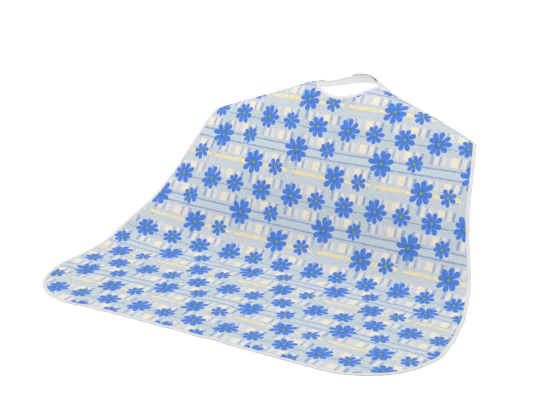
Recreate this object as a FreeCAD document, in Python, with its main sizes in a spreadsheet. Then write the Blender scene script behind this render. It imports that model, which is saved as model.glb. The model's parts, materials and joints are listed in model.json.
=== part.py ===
import FreeCAD, Part
import math
import os
import Sketcher

# Wide wipe-clean cape that hangs from the neck, covers chest and shoulders,
# and lies out flat in front of the seated wearer.
# Frame: +Z up, the wearer faces -Y, +X is the wearer's left.
# Origin: underside of the front hem, middle of its tape, on the plane of symmetry.
# On the flat pattern x runs across and w runs up the cloth, from 0 at shoulder level.

Vector = FreeCAD.Vector
doc = FreeCAD.newDocument("cape")
sheet = doc.addObject("Spreadsheet::Sheet", "dims")

# alias, value, note
SIZES = [
    # cloth layers, measured upward from the plane the cape lies on
    ("binding_width", 8.5, "folded bias tape, each side of the edge"),
    ("binding_total", 1.8, "folded bias tape, both folds and the cloth between"),
    ("backing_bottom", 0.4, "underside of the waterproof layer"),
    ("backing_thick", 0.4, "waterproof layer"),
    ("face_bottom", 0.85, "underside of the printed cloth"),
    ("face_thick", 0.5, "printed cloth"),
    ("edge_gap", 0.8, "cloth edge to tape"),
    ("thread_wide", 0.7, "stitch line width"),
    ("thread_thick", 0.35, "stitch line height"),
    ("thread_lift", 0.04, "stitch line above the tape"),
    ("stitch_inset", 6.5, "stitch line from the outer edge"),
    # flat pattern
    ("origin_w", 734.5, "middle of the hem tape to the shoulder level, along the cloth"),
    ("hem_w", 740.0, "shoulder level to hem"),
    ("fold_w", 430.0, "shoulder level to the lap fold"),
    ("fold_gap", 2.0, "room each side of the lap fold"),
    ("lap_top_half", 448.0, "half width at the lap fold"),
    ("lap_max_half", 464.0, "half width at its widest"),
    ("corner_radius", 172.0, "front corners"),
    ("half_a", 442.0, "half width 398 below the shoulder level"),
    ("half_b", 417.0, "half width 319 below"),
    ("half_c", 394.0, "half width 254 below"),
    ("half_d", 372.0, "half width 175 below"),
    ("half_e", 355.0, "half width 92 below"),
    ("half_f", 339.0, "half width 20 below"),
    ("shoulder_rise", 123.0, "shoulder edge extended to the middle"),
    ("shoulder_slope", 0.349, "fall of the shoulder edge per width"),
    ("shoulder_corner", 22.0, "shoulder corner radius"),
    ("neck_half", 74.0, "neck opening half width"),
    ("neck_depth", 61.0, "front neckline depth"),
    ("neck_top", 97.0, "level of the widest part of the neck opening"),
    # drape
    ("lap_bend_w", 336.5, "middle of the bend from lap to chest"),
    ("lap_bend_len", 192.0, "length of that bend"),
    ("chest_deg", 68.2, "slope of the chest"),
    ("breast_deg", 61.3, "slope below the shoulders"),
    ("crest_w", 95.3, "shoulder crest above shoulder level at the middle"),
    ("yoke_lift", 9.0, "extra rise of that crest halfway along the shoulder"),
    ("crest_len", 110.0, "length of cloth that rolls over the shoulder"),
    ("back_deg", 60.0, "fall behind the shoulder"),
    ("nape_deg", 25.0, "fall behind the shoulder beside the neck"),
    ("chest_wrap", 12.9, "how far the sides sit back at 300 from the middle"),
    # neck straps
    ("strap_width", 40.0, "neck strap"),
    ("strap_root", 46.0, "neck strap where it is sewn to the shoulder"),
    ("strap_thick", 1.6, "neck strap, folded cloth"),
    ("strap_back_y", 692.0, "inner edge of the strap behind the neck"),
    ("strap_back_z", 367.0, "height of that edge"),
    ("strap_lean_y", 30.0, "outer edge behind the inner edge"),
    ("strap_lean_z", 26.5, "outer edge below the inner edge"),
    ("strap_past", 38.0, "each strap past the middle"),
    ("strap_gap", 2.5, "strap root to the shoulder edge"),
    ("tape_wide", 25.0, "hook and loop tape"),
    ("tape_len", 56.0, "hook and loop tape"),
    ("tape_thick", 1.35, "hook or loop tape"),
    ("layer_gap", 0.15, "between strap and tape"),
    ("label_wide", 38.0, "sewn label"),
    ("label_high", 24.0, "sewn label"),
    ("label_thick", 0.25, "sewn label"),
]
for row, (alias, value, note) in enumerate(SIZES, start=1):
    sheet.set("A%d" % row, alias)
    sheet.set("B%d" % row, "%g" % value)
    sheet.set("C%d" % row, note)
    sheet.setAlias("B%d" % row, alias)
doc.recompute()


def dim(alias):
    return float(sheet.get(alias))


ORIGIN_W = dim("origin_w")
TAPE_WIDTH = dim("binding_width")
TAPE_TOP = dim("binding_total")
CLOTH_INSET = TAPE_WIDTH + dim("edge_gap")
BACKING_BOTTOM = dim("backing_bottom")
FACE_BOTTOM = dim("face_bottom")
THREAD_WIDE = dim("thread_wide")
THREAD_THICK = dim("thread_thick")
THREAD_LIFT = dim("thread_lift")
STITCH_OUTER = dim("stitch_inset") - THREAD_WIDE / 2.0
STITCH_INNER = dim("stitch_inset") + THREAD_WIDE / 2.0

# ---------------------------------------------------------------- drape
REFERENCE_X = 300.0          # where the sideways bow and wrap are measured
LAP_BEND_BOW = 2.2           # rise of the lap bend at REFERENCE_X
BREAST_BLEND = 260.0         # length below shoulder level that turns to the breast slope
NAPE_START, NAPE_BLEND = 100.0, 130.0        # change from nape fall to back fall
NAPE_DROP = 8.0              # the crest sits this much lower beside the neck
YOKE_START, YOKE_BLEND = 50.0, 70.0          # yoke lift comes in
YOKE_END, YOKE_FADE = 225.0, 150.0           # and fades out
WRAP_START, WRAP_BLEND = -330.0, 300.0       # along w

# table of the draped surface over the flat pattern
W_START, W_END, W_COUNT = -460.0, 180.0, 641
X_LIMIT, X_COUNT = 460.0, 93
W_STEP = (W_END - W_START) / (W_COUNT - 1)
X_STEP = 2.0 * X_LIMIT / (X_COUNT - 1)
MIDDLE = X_COUNT // 2
NORMAL_REACH = 4.0           # half the span used to find the surface normal

CHEST, BREAST, BACK, NAPE = [math.radians(dim(alias)) for alias in
                             ("chest_deg", "breast_deg", "back_deg", "nape_deg")]
LAP_BEND_W, LAP_BEND_LEN = dim("lap_bend_w"), dim("lap_bend_len")
CREST_W, CREST_LEN = dim("crest_w"), dim("crest_len")
RISE, FALL = dim("shoulder_rise"), dim("shoulder_slope")
YOKE_LIFT, CHEST_WRAP = dim("yoke_lift"), dim("chest_wrap")


def smooth(t):
    t = min(1.0, max(0.0, t))
    return t * t * (3.0 - 2.0 * t)


def ramp(place, start, length):
    """Smooth change from 0 at start to 1 after length."""
    return smooth((place - start) / length)


def slope_at(x, w):
    """Angle of the cloth above horizontal, going up the pattern."""
    bend_w = -LAP_BEND_W + LAP_BEND_BOW * (x / REFERENCE_X) ** 2
    front = CHEST * ramp(w, bend_w - LAP_BEND_LEN / 2.0, LAP_BEND_LEN)
    front += (BREAST - CHEST) * ramp(w, -BREAST_BLEND, BREAST_BLEND)
    side = ramp(abs(x), NAPE_START, NAPE_BLEND)
    fall = NAPE + (BACK - NAPE) * side
    yoke = ramp(abs(x), YOKE_START, YOKE_BLEND) * (1.0 - ramp(abs(x), YOKE_END, YOKE_FADE))
    crest = CREST_W - FALL * abs(x) - NAPE_DROP * (1.0 - side) + YOKE_LIFT * yoke
    over = ramp(w, crest - CREST_LEN / 2.0, CREST_LEN)
    return front * (1.0 - over) - fall * over


def drape_column(x):
    """y and z up one strip of cloth, found by following its slope."""
    y, z = W_START + ORIGIN_W, 0.0
    column_y, column_z = [], []
    for j in range(W_COUNT):
        w = W_START + W_STEP * j
        wrap = CHEST_WRAP * (abs(x) / REFERENCE_X) ** 2 * ramp(w, WRAP_START, WRAP_BLEND)
        column_y.append(y + wrap)
        column_z.append(z)
        angle = slope_at(x, w + W_STEP / 2.0)
        y += math.cos(angle) * W_STEP
        z += math.sin(angle) * W_STEP
    return column_y, column_z


DRAPE_Y, DRAPE_Z = [], []
for i in range(X_COUNT):
    column_y, column_z = drape_column(-X_LIMIT + X_STEP * i)
    DRAPE_Y.append(column_y)
    DRAPE_Z.append(column_z)

# The strips draw together in x, so that the cloth keeps its width across.
DRAPE_X = [[0.0] * W_COUNT for _ in range(X_COUNT)]
for j in range(W_COUNT):
    for i in range(MIDDLE, X_COUNT - 1):
        dy = (DRAPE_Y[i + 1][j] - DRAPE_Y[i][j]) / X_STEP
        dz = (DRAPE_Z[i + 1][j] - DRAPE_Z[i][j]) / X_STEP
        step = X_STEP * math.sqrt(max(0.3, 1.0 - dy * dy - dz * dz))
        DRAPE_X[i + 1][j] = DRAPE_X[i][j] + step
        DRAPE_X[2 * MIDDLE - i - 1][j] = -DRAPE_X[i + 1][j]


def chest_point(x, w):
    """Place in space of a pattern point, interpolated in the drape table."""
    column = min(max((x + X_LIMIT) / X_STEP, 0.0), X_COUNT - 1.001)
    row = min(max((w - W_START) / W_STEP, 0.0), W_COUNT - 1.001)
    i, j = int(column), int(row)
    u, v = column - i, row - j
    return Vector(*[(T[i][j] * (1 - u) + T[i + 1][j] * u) * (1 - v)
                    + (T[i][j + 1] * (1 - u) + T[i + 1][j + 1] * u) * v
                    for T in (DRAPE_X, DRAPE_Y, DRAPE_Z)])


def chest_map(x, w, lift):
    """Pattern point raised off the surface, away from the wearer."""
    across = chest_point(x + NORMAL_REACH, w) - chest_point(x - NORMAL_REACH, w)
    along = chest_point(x, w + NORMAL_REACH) - chest_point(x, w - NORMAL_REACH)
    normal = across.cross(along)
    normal.normalize()
    return chest_point(x, w) + normal * lift


# ---------------------------------------------------------------- cloth solids
def surface(poles):
    """Uniform B-spline surface, cubic where there are poles enough."""
    spans = []
    for count in (len(poles), len(poles[0])):
        degree = min(3, count - 1)
        knots = [float(k) for k in range(count - degree + 1)]
        mults = [degree + 1] + [1] * (count - degree - 1) + [degree + 1]
        spans.append((mults, knots, degree))
    (u_mults, u_knots, u_degree), (v_mults, v_knots, v_degree) = spans
    result = Part.BSplineSurface()
    result.buildFromPolesMultsKnots(poles, u_mults, v_mults, u_knots, v_knots,
                                    False, False, u_degree, v_degree)
    return result


def slab(grid, mapping, low, high):
    """A cloth layer: grid[i][j] are places on the flat pattern."""
    bottom, top = [surface([[mapping(a, b, lift) for a, b in column] for column in grid])
                   for lift in (low, high)]
    faces = [bottom.toShape(), top.toShape()]
    u0, u1, v0, v1 = bottom.bounds()
    borders = [(bottom.uIso(u), top.uIso(u)) for u in (u0, u1)]
    borders += [(bottom.vIso(v), top.vIso(v)) for v in (v0, v1)]
    for low_edge, high_edge in borders:
        faces.append(Part.makeRuledSurface(low_edge.toShape(), high_edge.toShape()))
    solid = Part.Solid(Part.Shell(faces))
    if solid.Volume < 0:
        solid.reverse()
    return solid


def slab_piece(label, grid, mapping, low, high):
    piece = doc.addObject("Part::Feature", label)
    piece.Label = label
    piece.Shape = slab(grid, mapping, low, high)


def lerp(a, b, t):
    return (a[0] + (b[0] - a[0]) * t, a[1] + (b[1] - a[1]) * t)


def mirror(path):
    return [(-x, w) for x, w in path]


def band(path_a, path_b, across=3):
    """Grid between two paths."""
    return [[lerp(a, b, k / across) for k in range(across + 1)]
            for a, b in zip(path_a, path_b)]


def rectangle(a0, a1, b0, b1, a_steps, b_steps):
    return [[(a0 + (a1 - a0) * i / a_steps, b0 + (b1 - b0) * j / b_steps)
             for j in range(b_steps + 1)] for i in range(a_steps + 1)]


# ---------------------------------------------------------------- chest outline
# All paths are for the +X half; inset moves them in from the cape's edge.
PANEL_BOTTOM = -dim("fold_w") + dim("fold_gap")
BOTTOM_TRIM = 0.5            # the panel is this much narrower than the lap at the fold
SIDE_COUNT, SIDE_EASE = 17, 1.35             # points up the side, closer near the top
SHOULDER_COUNT, SHOULDER_EASE = 13, 1.25     # points to the neck, closer near it

# level w, half width of the panel
HALF_WIDTHS = [
    (PANEL_BOTTOM, dim("lap_top_half") - BOTTOM_TRIM),
    (-398.0, dim("half_a")), (-319.0, dim("half_b")), (-254.0, dim("half_c")),
    (-175.0, dim("half_d")), (-92.0, dim("half_e")), (-20.0, dim("half_f")),
]
(_, _), (LAST_W, LAST_HALF) = HALF_WIDTHS[-2:]
TAPER = (LAST_HALF - HALF_WIDTHS[-2][1]) / (LAST_W - HALF_WIDTHS[-2][0])
SIDE_STRETCH = math.sqrt(1.0 + TAPER * TAPER)        # inset measured along x
SHOULDER_STRETCH = math.sqrt(1.0 + FALL * FALL)      # inset measured along w


def half_width(w):
    for (w0, half0), (w1, half1) in zip(HALF_WIDTHS, HALF_WIDTHS[1:]):
        if w <= w1:
            return half0 + (half1 - half0) * (w - w0) / (w1 - w0)
    return LAST_HALF + TAPER * (w - LAST_W)


def eased(k, last, power):
    """Fraction k/last, with the steps shrinking toward 1."""
    return 1.0 - (1.0 - k / last) ** power


def shoulder_corner(inset):
    """Start, end and a point-at-fraction function of the rounded shoulder corner."""
    side_x = LAST_HALF - TAPER * LAST_W - inset * SIDE_STRETCH
    shoulder_w = RISE - inset * SHOULDER_STRETCH
    x = (side_x + TAPER * shoulder_w) / (1.0 + TAPER * FALL)
    w = shoulder_w - FALL * x
    up_side = (TAPER / SIDE_STRETCH, 1.0 / SIDE_STRETCH)
    to_neck = (-1.0 / SHOULDER_STRETCH, FALL / SHOULDER_STRETCH)
    turn = math.acos(up_side[0] * to_neck[0] + up_side[1] * to_neck[1])
    radius = dim("shoulder_corner") - inset
    reach = radius * math.tan(turn / 2.0)
    start = (x - up_side[0] * reach, w - up_side[1] * reach)
    end = (x + to_neck[0] * reach, w + to_neck[1] * reach)
    centre = (start[0] - up_side[1] * radius, start[1] + up_side[0] * radius)
    first_angle = math.atan2(start[1] - centre[1], start[0] - centre[0])

    def arc(fraction):
        angle = first_angle + turn * fraction
        return (centre[0] + radius * math.cos(angle), centre[1] + radius * math.sin(angle))

    return start, end, arc


def side_path(inset):
    """Side edge from the fold up to the middle of the shoulder corner."""
    start, _, arc = shoulder_corner(inset)
    points = []
    for k in range(SIDE_COUNT - 1):
        w = PANEL_BOTTOM + (start[1] - PANEL_BOTTOM) * eased(k, SIDE_COUNT - 1, SIDE_EASE)
        points.append((half_width(w) - inset * SIDE_STRETCH, w))
    return points + [start, arc(0.17), arc(0.34), arc(0.5)]


def neck_point(inset, angle):
    """Point on the elliptical neckline; angle 0 is its widest part."""
    return ((dim("neck_half") + inset) * math.cos(angle),
            dim("neck_top") - (dim("neck_depth") + inset) * math.sin(angle))


def neck_start_angle(inset):
    """Where the neckline meets the shoulder edge."""
    def above_shoulder(angle):
        x, w = neck_point(inset, angle)
        return w > RISE - inset * SHOULDER_STRETCH - FALL * x

    low, high = 0.0, math.pi / 2.0
    if not above_shoulder(low):
        return low
    for _ in range(50):
        middle = (low + high) / 2.0
        if above_shoulder(middle):
            low = middle
        else:
            high = middle
    return high


def shoulder_path(inset):
    """From the middle of the shoulder corner along the shoulder to the neckline."""
    _, end, arc = shoulder_corner(inset)
    neck = neck_point(inset, neck_start_angle(inset))
    return [arc(0.5), arc(0.66), arc(0.83), end] + [
        lerp(end, neck, eased(k, SHOULDER_COUNT, SHOULDER_EASE))
        for k in range(1, SHOULDER_COUNT + 1)]


def neck_path(inset, count):
    """Neckline from the shoulder edge to the middle of the front."""
    first = neck_start_angle(inset)
    return [neck_point(inset, first + (math.pi / 2.0 - first) * k / count)
            for k in range(count + 1)]


def panel_grid(inset):
    """Grid blended between the four edges of the chest panel, -X to +X."""
    plus = side_path(inset)
    minus = mirror(plus)
    top_half = shoulder_path(inset) + neck_path(inset, 12)[1:]
    top = mirror(top_half) + top_half[::-1][1:]
    grid = []
    for top_point in top:
        s = (top_point[0] - top[0][0]) / (top[-1][0] - top[0][0])
        bottom_point = lerp(minus[0], plus[0], s)
        column = []
        for minus_point, plus_point in zip(minus, plus):
            t = (plus_point[1] - plus[0][1]) / (plus[-1][1] - plus[0][1])
            column.append(tuple(
                (1 - t) * bottom_point[c] + t * top_point[c]
                + (1 - s) * minus_point[c] + s * plus_point[c]
                - (1 - s) * ((1 - t) * minus[0][c] + t * top[0][c])
                - s * ((1 - t) * plus[0][c] + t * top[-1][c])
                for c in (0, 1)))
        grid.append(column)
    return grid


# ---------------------------------------------------------------- chest panel
TAPE_END_CUT = 0.5           # tapes stop this short of where side and neckline meet
THREAD_END_CUT = 1.5         # stitch lines likewise
THREAD_BOTTOM = TAPE_TOP + THREAD_LIFT
LABEL_DROP = 3.0             # neckline tape to label
LABEL_GAP = 0.05             # backing to label, and label to its thread
LABEL_SEAM = 2.0             # label stitch line from the label's edges


def trim_end(path, cut):
    """Shorten the last step of a path."""
    a, b = path[-2], path[-1]
    return path[:-1] + [lerp(a, b, 1.0 - cut / math.hypot(b[0] - a[0], b[1] - a[1]))]


def edge_path(inset, cut):
    """Side and shoulder edge, from the fold to the neckline."""
    return trim_end(side_path(inset) + shoulder_path(inset)[1:], cut)


def neckline(inset, cut):
    """Whole neckline, from the +X shoulder to the -X one."""
    from_middle = trim_end(neck_path(inset, 14)[::-1], cut)
    return from_middle[::-1] + mirror(from_middle)[1:]


def tape_grid(path):
    return band(path(0.0, TAPE_END_CUT), path(TAPE_WIDTH, TAPE_END_CUT))


def stitch_grid(path):
    return band(path(STITCH_OUTER, THREAD_END_CUT), path(STITCH_INNER, THREAD_END_CUT), 1)


def both_sides(label, grid, low, high):
    slab_piece(label + "_left", grid, chest_map, low, high)
    slab_piece(label + "_right", [mirror(column) for column in grid], chest_map, low, high)


def make_chest_panel():
    grid = panel_grid(CLOTH_INSET)
    slab_piece("bib_printed_cloth", grid, chest_map,
               FACE_BOTTOM, FACE_BOTTOM + dim("face_thick"))
    slab_piece("bib_waterproof_backing", grid, chest_map,
               BACKING_BOTTOM, BACKING_BOTTOM + dim("backing_thick"))


def make_chest_edges():
    thread_top = THREAD_BOTTOM + THREAD_THICK
    both_sides("side_binding", tape_grid(edge_path), 0.0, TAPE_TOP)
    both_sides("side_stitching", stitch_grid(edge_path), THREAD_BOTTOM, thread_top)
    slab_piece("neckline_binding", tape_grid(neckline), chest_map, 0.0, TAPE_TOP)
    slab_piece("neckline_stitching", stitch_grid(neckline), chest_map,
               THREAD_BOTTOM, thread_top)


def make_care_label():
    """Blank label on the inside below the neckline, sewn along its top."""
    half, thick = dim("label_wide") / 2.0, dim("label_thick")
    top = dim("neck_top") - dim("neck_depth") - TAPE_WIDTH - LABEL_DROP
    face = BACKING_BOTTOM - LABEL_GAP
    slab_piece("care_label", rectangle(-half, half, top - dim("label_high"), top, 4, 4),
               chest_map, face - thick, face)
    seam_x, seam_w = half - LABEL_SEAM, top - LABEL_SEAM
    thread_top = face - thick - LABEL_GAP
    seam = rectangle(-seam_x, seam_x, seam_w - THREAD_WIDE / 2.0, seam_w + THREAD_WIDE / 2.0,
                     4, 1)
    slab_piece("care_label_stitching", seam, chest_map, thread_top - THREAD_THICK, thread_top)


make_chest_panel()
make_chest_edges()
make_care_label()

# ---------------------------------------------------------------- neck strap loop
# Both straps follow one loop behind the neck, from the left (+X) shoulder to the right.
# A place on a strap is (distance along it, fraction across it from the neck side).
STRAP_WIDTH, STRAP_THICK = dim("strap_width"), dim("strap_thick")
ROOT_OFFSET = 1.0            # strap root from the neck end of the shoulder edge, along x
RAIL_COUNT = 61
# turn of each rail as it leaves the shoulder, and the pull at its two ends
INNER_TURN, INNER_ROOT_PULL, INNER_BACK_PULL = Vector(-0.42, 0.0, -0.10), 80.0, 95.0
OUTER_TURN, OUTER_ROOT_PULL, OUTER_BACK_PULL = Vector(-0.22, 0.0, -0.70), 140.0, 150.0
RISE_START = 20.0            # the upper strap starts to rise this far from its root
RISE_MARGIN = 34.0           # shortens the rise, so it ends before the lower strap begins


def unit(vector):
    result = Vector(vector)
    result.normalize()
    return result


def hermite(p0, t0, p1, t1, u):
    return (p0 * (2 * u ** 3 - 3 * u ** 2 + 1) + t0 * (u ** 3 - 2 * u ** 2 + u)
            + p1 * (-2 * u ** 3 + 3 * u ** 2) + t1 * (u ** 3 - u ** 2))


def strap_rail(root_x, turn, root_pull, back, back_pull):
    """One strap edge: left shoulder to the middle of the back, then mirrored."""
    w = RISE - FALL * root_x + dim("strap_gap") * SHOULDER_STRETCH
    root = chest_map(root_x, w, 0.0)
    leave = unit(unit(chest_point(root_x, w + 3.0) - chest_point(root_x, w - 3.0)) + turn)
    half = [hermite(root, leave * root_pull, back, Vector(-back_pull, 0, 0),
                    k / (RAIL_COUNT - 1)) for k in range(RAIL_COUNT)]
    return half + [Vector(-p.x, p.y, p.z) for p in half[::-1][1:]]


inner_root_x = neck_point(0.0, neck_start_angle(0.0))[0] + ROOT_OFFSET
inner_back = Vector(0.0, dim("strap_back_y"), dim("strap_back_z"))
outer_back = inner_back + Vector(0.0, dim("strap_lean_y"), -dim("strap_lean_z"))
LOOP_INNER = strap_rail(inner_root_x, INNER_TURN, INNER_ROOT_PULL,
                        inner_back, INNER_BACK_PULL)
LOOP_OUTER = strap_rail(inner_root_x + dim("strap_root") / SHOULDER_STRETCH, OUTER_TURN,
                        OUTER_ROOT_PULL, outer_back, OUTER_BACK_PULL)

# distance along the middle of the strap at each rail point
centre_line = [(a + b) * 0.5 for a, b in zip(LOOP_INNER, LOOP_OUTER)]
DISTANCES = [0.0]
for a, b in zip(centre_line, centre_line[1:]):
    DISTANCES.append(DISTANCES[-1] + (b - a).Length)
HALFWAY, TOTAL = DISTANCES[RAIL_COUNT - 1], DISTANCES[-1]
STRAP_LEN = HALFWAY + dim("strap_past")


def loop_at(distance):
    """Inner and outer edge points of the loop."""
    k = 0
    while k < len(DISTANCES) - 2 and DISTANCES[k + 1] < distance:
        k += 1
    t = (distance - DISTANCES[k]) / (DISTANCES[k + 1] - DISTANCES[k])
    return [rail[k] + (rail[k + 1] - rail[k]) * t for rail in (LOOP_INNER, LOOP_OUTER)]


def strap_frame(distance, across):
    """Point on the loop and its upward normal."""
    inner, outer = loop_at(distance)
    ahead = loop_at(min(TOTAL, distance + 2.0))
    behind = loop_at(max(0.0, distance - 2.0))
    normal = (outer - inner).cross((ahead[0] + ahead[1]) - (behind[0] + behind[1]))
    normal.normalize()
    if normal.z < 0:
        normal = normal * -1.0
    return inner + (outer - inner) * across, normal


def over_map(distance, across, lift):
    """Strap from the left shoulder, which rises to pass over the other one."""
    full = STRAP_THICK + 2.0 * dim("tape_thick") + 3.0 * dim("layer_gap")
    rise = full * ramp(distance, RISE_START, HALFWAY - dim("strap_past") - RISE_MARGIN)
    point, normal = strap_frame(distance, across)
    return point + normal * (lift + rise)


def under_map(distance, across, lift):
    """Strap from the right shoulder."""
    point, normal = strap_frame(TOTAL - distance, across)
    return point + normal * lift


# ---------------------------------------------------------------- neck strap pieces
STRAP_STEPS = 44
STRAP_END_ROUND = 9.0        # radius of the two free corners
STRAP_SEAM = 3.0             # stitch line from the strap's edges and free end
STRAP_SEAM_START = 9.0       # stitch line from the root
STRAP_SEAM_ROUND = 5.0
STRAP_SEAM_LIFT = THREAD_LIFT + 0.14         # clear of the curved strap
TAPE_SEAM = 2.0              # stitch line from the edges of the hook and loop tape


def strap_grid():
    """Strap with its two free corners cut off round."""
    grid = []
    for i in range(STRAP_STEPS + 1):
        distance = STRAP_LEN * i / STRAP_STEPS
        e = max(0.0, (distance - (STRAP_LEN - STRAP_END_ROUND)) / STRAP_END_ROUND)
        pull = STRAP_END_ROUND * (1.0 - math.sqrt(max(0.0, 1.0 - e * e))) / STRAP_WIDTH
        grid.append([(distance, pull + (1.0 - 2.0 * pull) * k / 4.0) for k in range(5)])
    return grid


def strap_thread(label, path, mapping, low, high):
    """Thread along a path on the strap."""
    grid = []
    for k, (distance, across) in enumerate(path):
        before, after = path[max(0, k - 1)], path[min(len(path) - 1, k + 1)]
        dx, dy = after[0] - before[0], (after[1] - before[1]) * STRAP_WIDTH
        length = math.hypot(dx, dy)
        off_x = -dy / length * THREAD_WIDE / 2.0
        off_y = dx / length * THREAD_WIDE / 2.0 / STRAP_WIDTH
        grid.append([(distance + off_x, across + off_y), (distance - off_x, across - off_y)])
    slab_piece(label, grid, mapping, low, high)


def hairpin(start, end, near, far, steps):
    """Out along one edge, round the end and back along the other."""
    r, r_across = STRAP_SEAM_ROUND, STRAP_SEAM_ROUND / STRAP_WIDTH
    turn = [math.pi / 2.0 * k / 6.0 for k in range(1, 6)]
    points = [(start + (end - r - start) * k / steps, near) for k in range(steps + 1)]
    points += [(end - r + r * math.sin(a), near + r_across * (1.0 - math.cos(a)))
               for a in turn]
    points += [(end, near + r_across + (far - near - 2 * r_across) * k / 4.0)
               for k in range(5)]
    points += [(end - r + r * math.cos(a), far - r_across + r_across * math.sin(a))
               for a in turn]
    points += [(end - r + (start - end + r) * k / steps, far) for k in range(steps + 1)]
    return points


def box_path(start, end, near, far):
    """Round a rectangle, stopping one step short of the first corner."""
    points = [(start + (end - start) * k / 14, near) for k in range(15)]
    points += [(end, near + (far - near) * k / 6.0) for k in range(1, 7)]
    points += [(end + (start - end) * k / 14, far) for k in range(1, 15)]
    points += [(start, far + (near - far) * k / 6.0) for k in range(1, 6)]
    return points


def make_straps():
    slab_piece("neck_strap_over", strap_grid(), over_map, 0.0, STRAP_THICK)
    slab_piece("neck_strap_under", strap_grid(), under_map, 0.0, STRAP_THICK)
    edge = STRAP_SEAM / STRAP_WIDTH
    path = hairpin(STRAP_SEAM_START, STRAP_LEN - STRAP_SEAM, edge, 1.0 - edge, 60)
    bottom = STRAP_THICK + STRAP_SEAM_LIFT
    strap_thread("neck_strap_over_stitching", path, over_map, bottom, bottom + THREAD_THICK)
    strap_thread("neck_strap_under_stitching", path, under_map,
                 -STRAP_SEAM_LIFT - THREAD_THICK, -STRAP_SEAM_LIFT)


def make_strap_tapes():
    """Hook and loop tape between the straps; each is sewn through to the far face."""
    start, end = HALFWAY - dim("tape_len") / 2.0, HALFWAY + dim("tape_len") / 2.0
    half = dim("tape_wide") / STRAP_WIDTH / 2.0
    thick, gap = dim("tape_thick"), dim("layer_gap")
    tape = rectangle(start, end, 0.5 - half, 0.5 + half, 16, 3)
    slab_piece("loop_tape", tape, under_map, STRAP_THICK + gap, STRAP_THICK + gap + thick)
    slab_piece("hook_tape", tape, over_map, -gap - thick, -gap)
    seam_half = half - TAPE_SEAM / STRAP_WIDTH
    path = box_path(start + TAPE_SEAM, end - TAPE_SEAM, 0.5 - seam_half, 0.5 + seam_half)
    bottom = STRAP_THICK + THREAD_LIFT
    strap_thread("hook_tape_stitching", path, over_map, bottom, bottom + THREAD_THICK)
    strap_thread("loop_tape_stitching", path, under_map,
                 -THREAD_LIFT - THREAD_THICK, -THREAD_LIFT)


make_straps()
make_strap_tapes()

# ---------------------------------------------------------------- flat lap
# Each lap piece is a padded sketch, symmetric about the middle plane.
# An inset is a pair: its value and the same as a spreadsheet expression.
START, END, CENTRE = 1, 2, 3         # point positions in sketch constraints
ORIGIN = (-1, START)
AT_EDGE = (0.0, "0")
AT_TAPE = (TAPE_WIDTH, "dims.binding_width")
AT_CLOTH = (CLOTH_INSET, "dims.binding_width + dims.edge_gap")
AT_STITCH_OUTER = (STITCH_OUTER, "dims.stitch_inset - dims.thread_wide / 2")
AT_STITCH_INNER = (STITCH_INNER, "dims.stitch_inset + dims.thread_wide / 2")


def lap_points(inset):
    """Fold, side tangent, corner middle and hem points of the +X half, then the -X half."""
    corner = dim("corner_radius")
    radius = corner - inset
    hem_y = -dim("hem_w") + ORIGIN_W
    centre_x, centre_y = dim("lap_max_half") - corner, hem_y + corner
    fold = Vector(dim("lap_top_half") - inset, -dim("fold_w") - dim("fold_gap") + ORIGIN_W, 0)
    # the side line runs from the fold point, tangent to the corner
    dx, dy = fold.x - centre_x, fold.y - centre_y
    tangent_angle = math.atan2(dy, dx) - math.acos(radius / math.hypot(dx, dy))
    on_corner = [Vector(centre_x + radius * math.cos(angle),
                        centre_y + radius * math.sin(angle), 0)
                 for angle in (tangent_angle, (tangent_angle - math.pi / 2.0) / 2.0)]
    half = [fold] + on_corner + [Vector(centre_x, hem_y + inset, 0)]
    return half + [Vector(-p.x, p.y, 0) for p in half[::-1]]


def outline_chain(p):
    """Side, corner, hem, corner, side through the eight lap points."""
    return [Part.LineSegment(p[0], p[1]), Part.Arc(p[1], p[2], p[3]),
            Part.LineSegment(p[3], p[4]), Part.Arc(p[4], p[5], p[6]),
            Part.LineSegment(p[6], p[7])]


def end_near(sketch, edge, point):
    """Which end of an edge lies at a point; a stored arc may run either way."""
    def gap(position):
        end = sketch.getPoint(edge, position)
        return math.hypot(end.x - point.x, end.y - point.y)

    return min((START, END), key=gap)


def bind(sketch, kind, where, value, name, expression):
    index = sketch.addConstraint(Sketcher.Constraint(kind, *where, value))
    sketch.renameConstraint(index, name)
    sketch.setExpression("Constraints." + name, expression)


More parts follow.
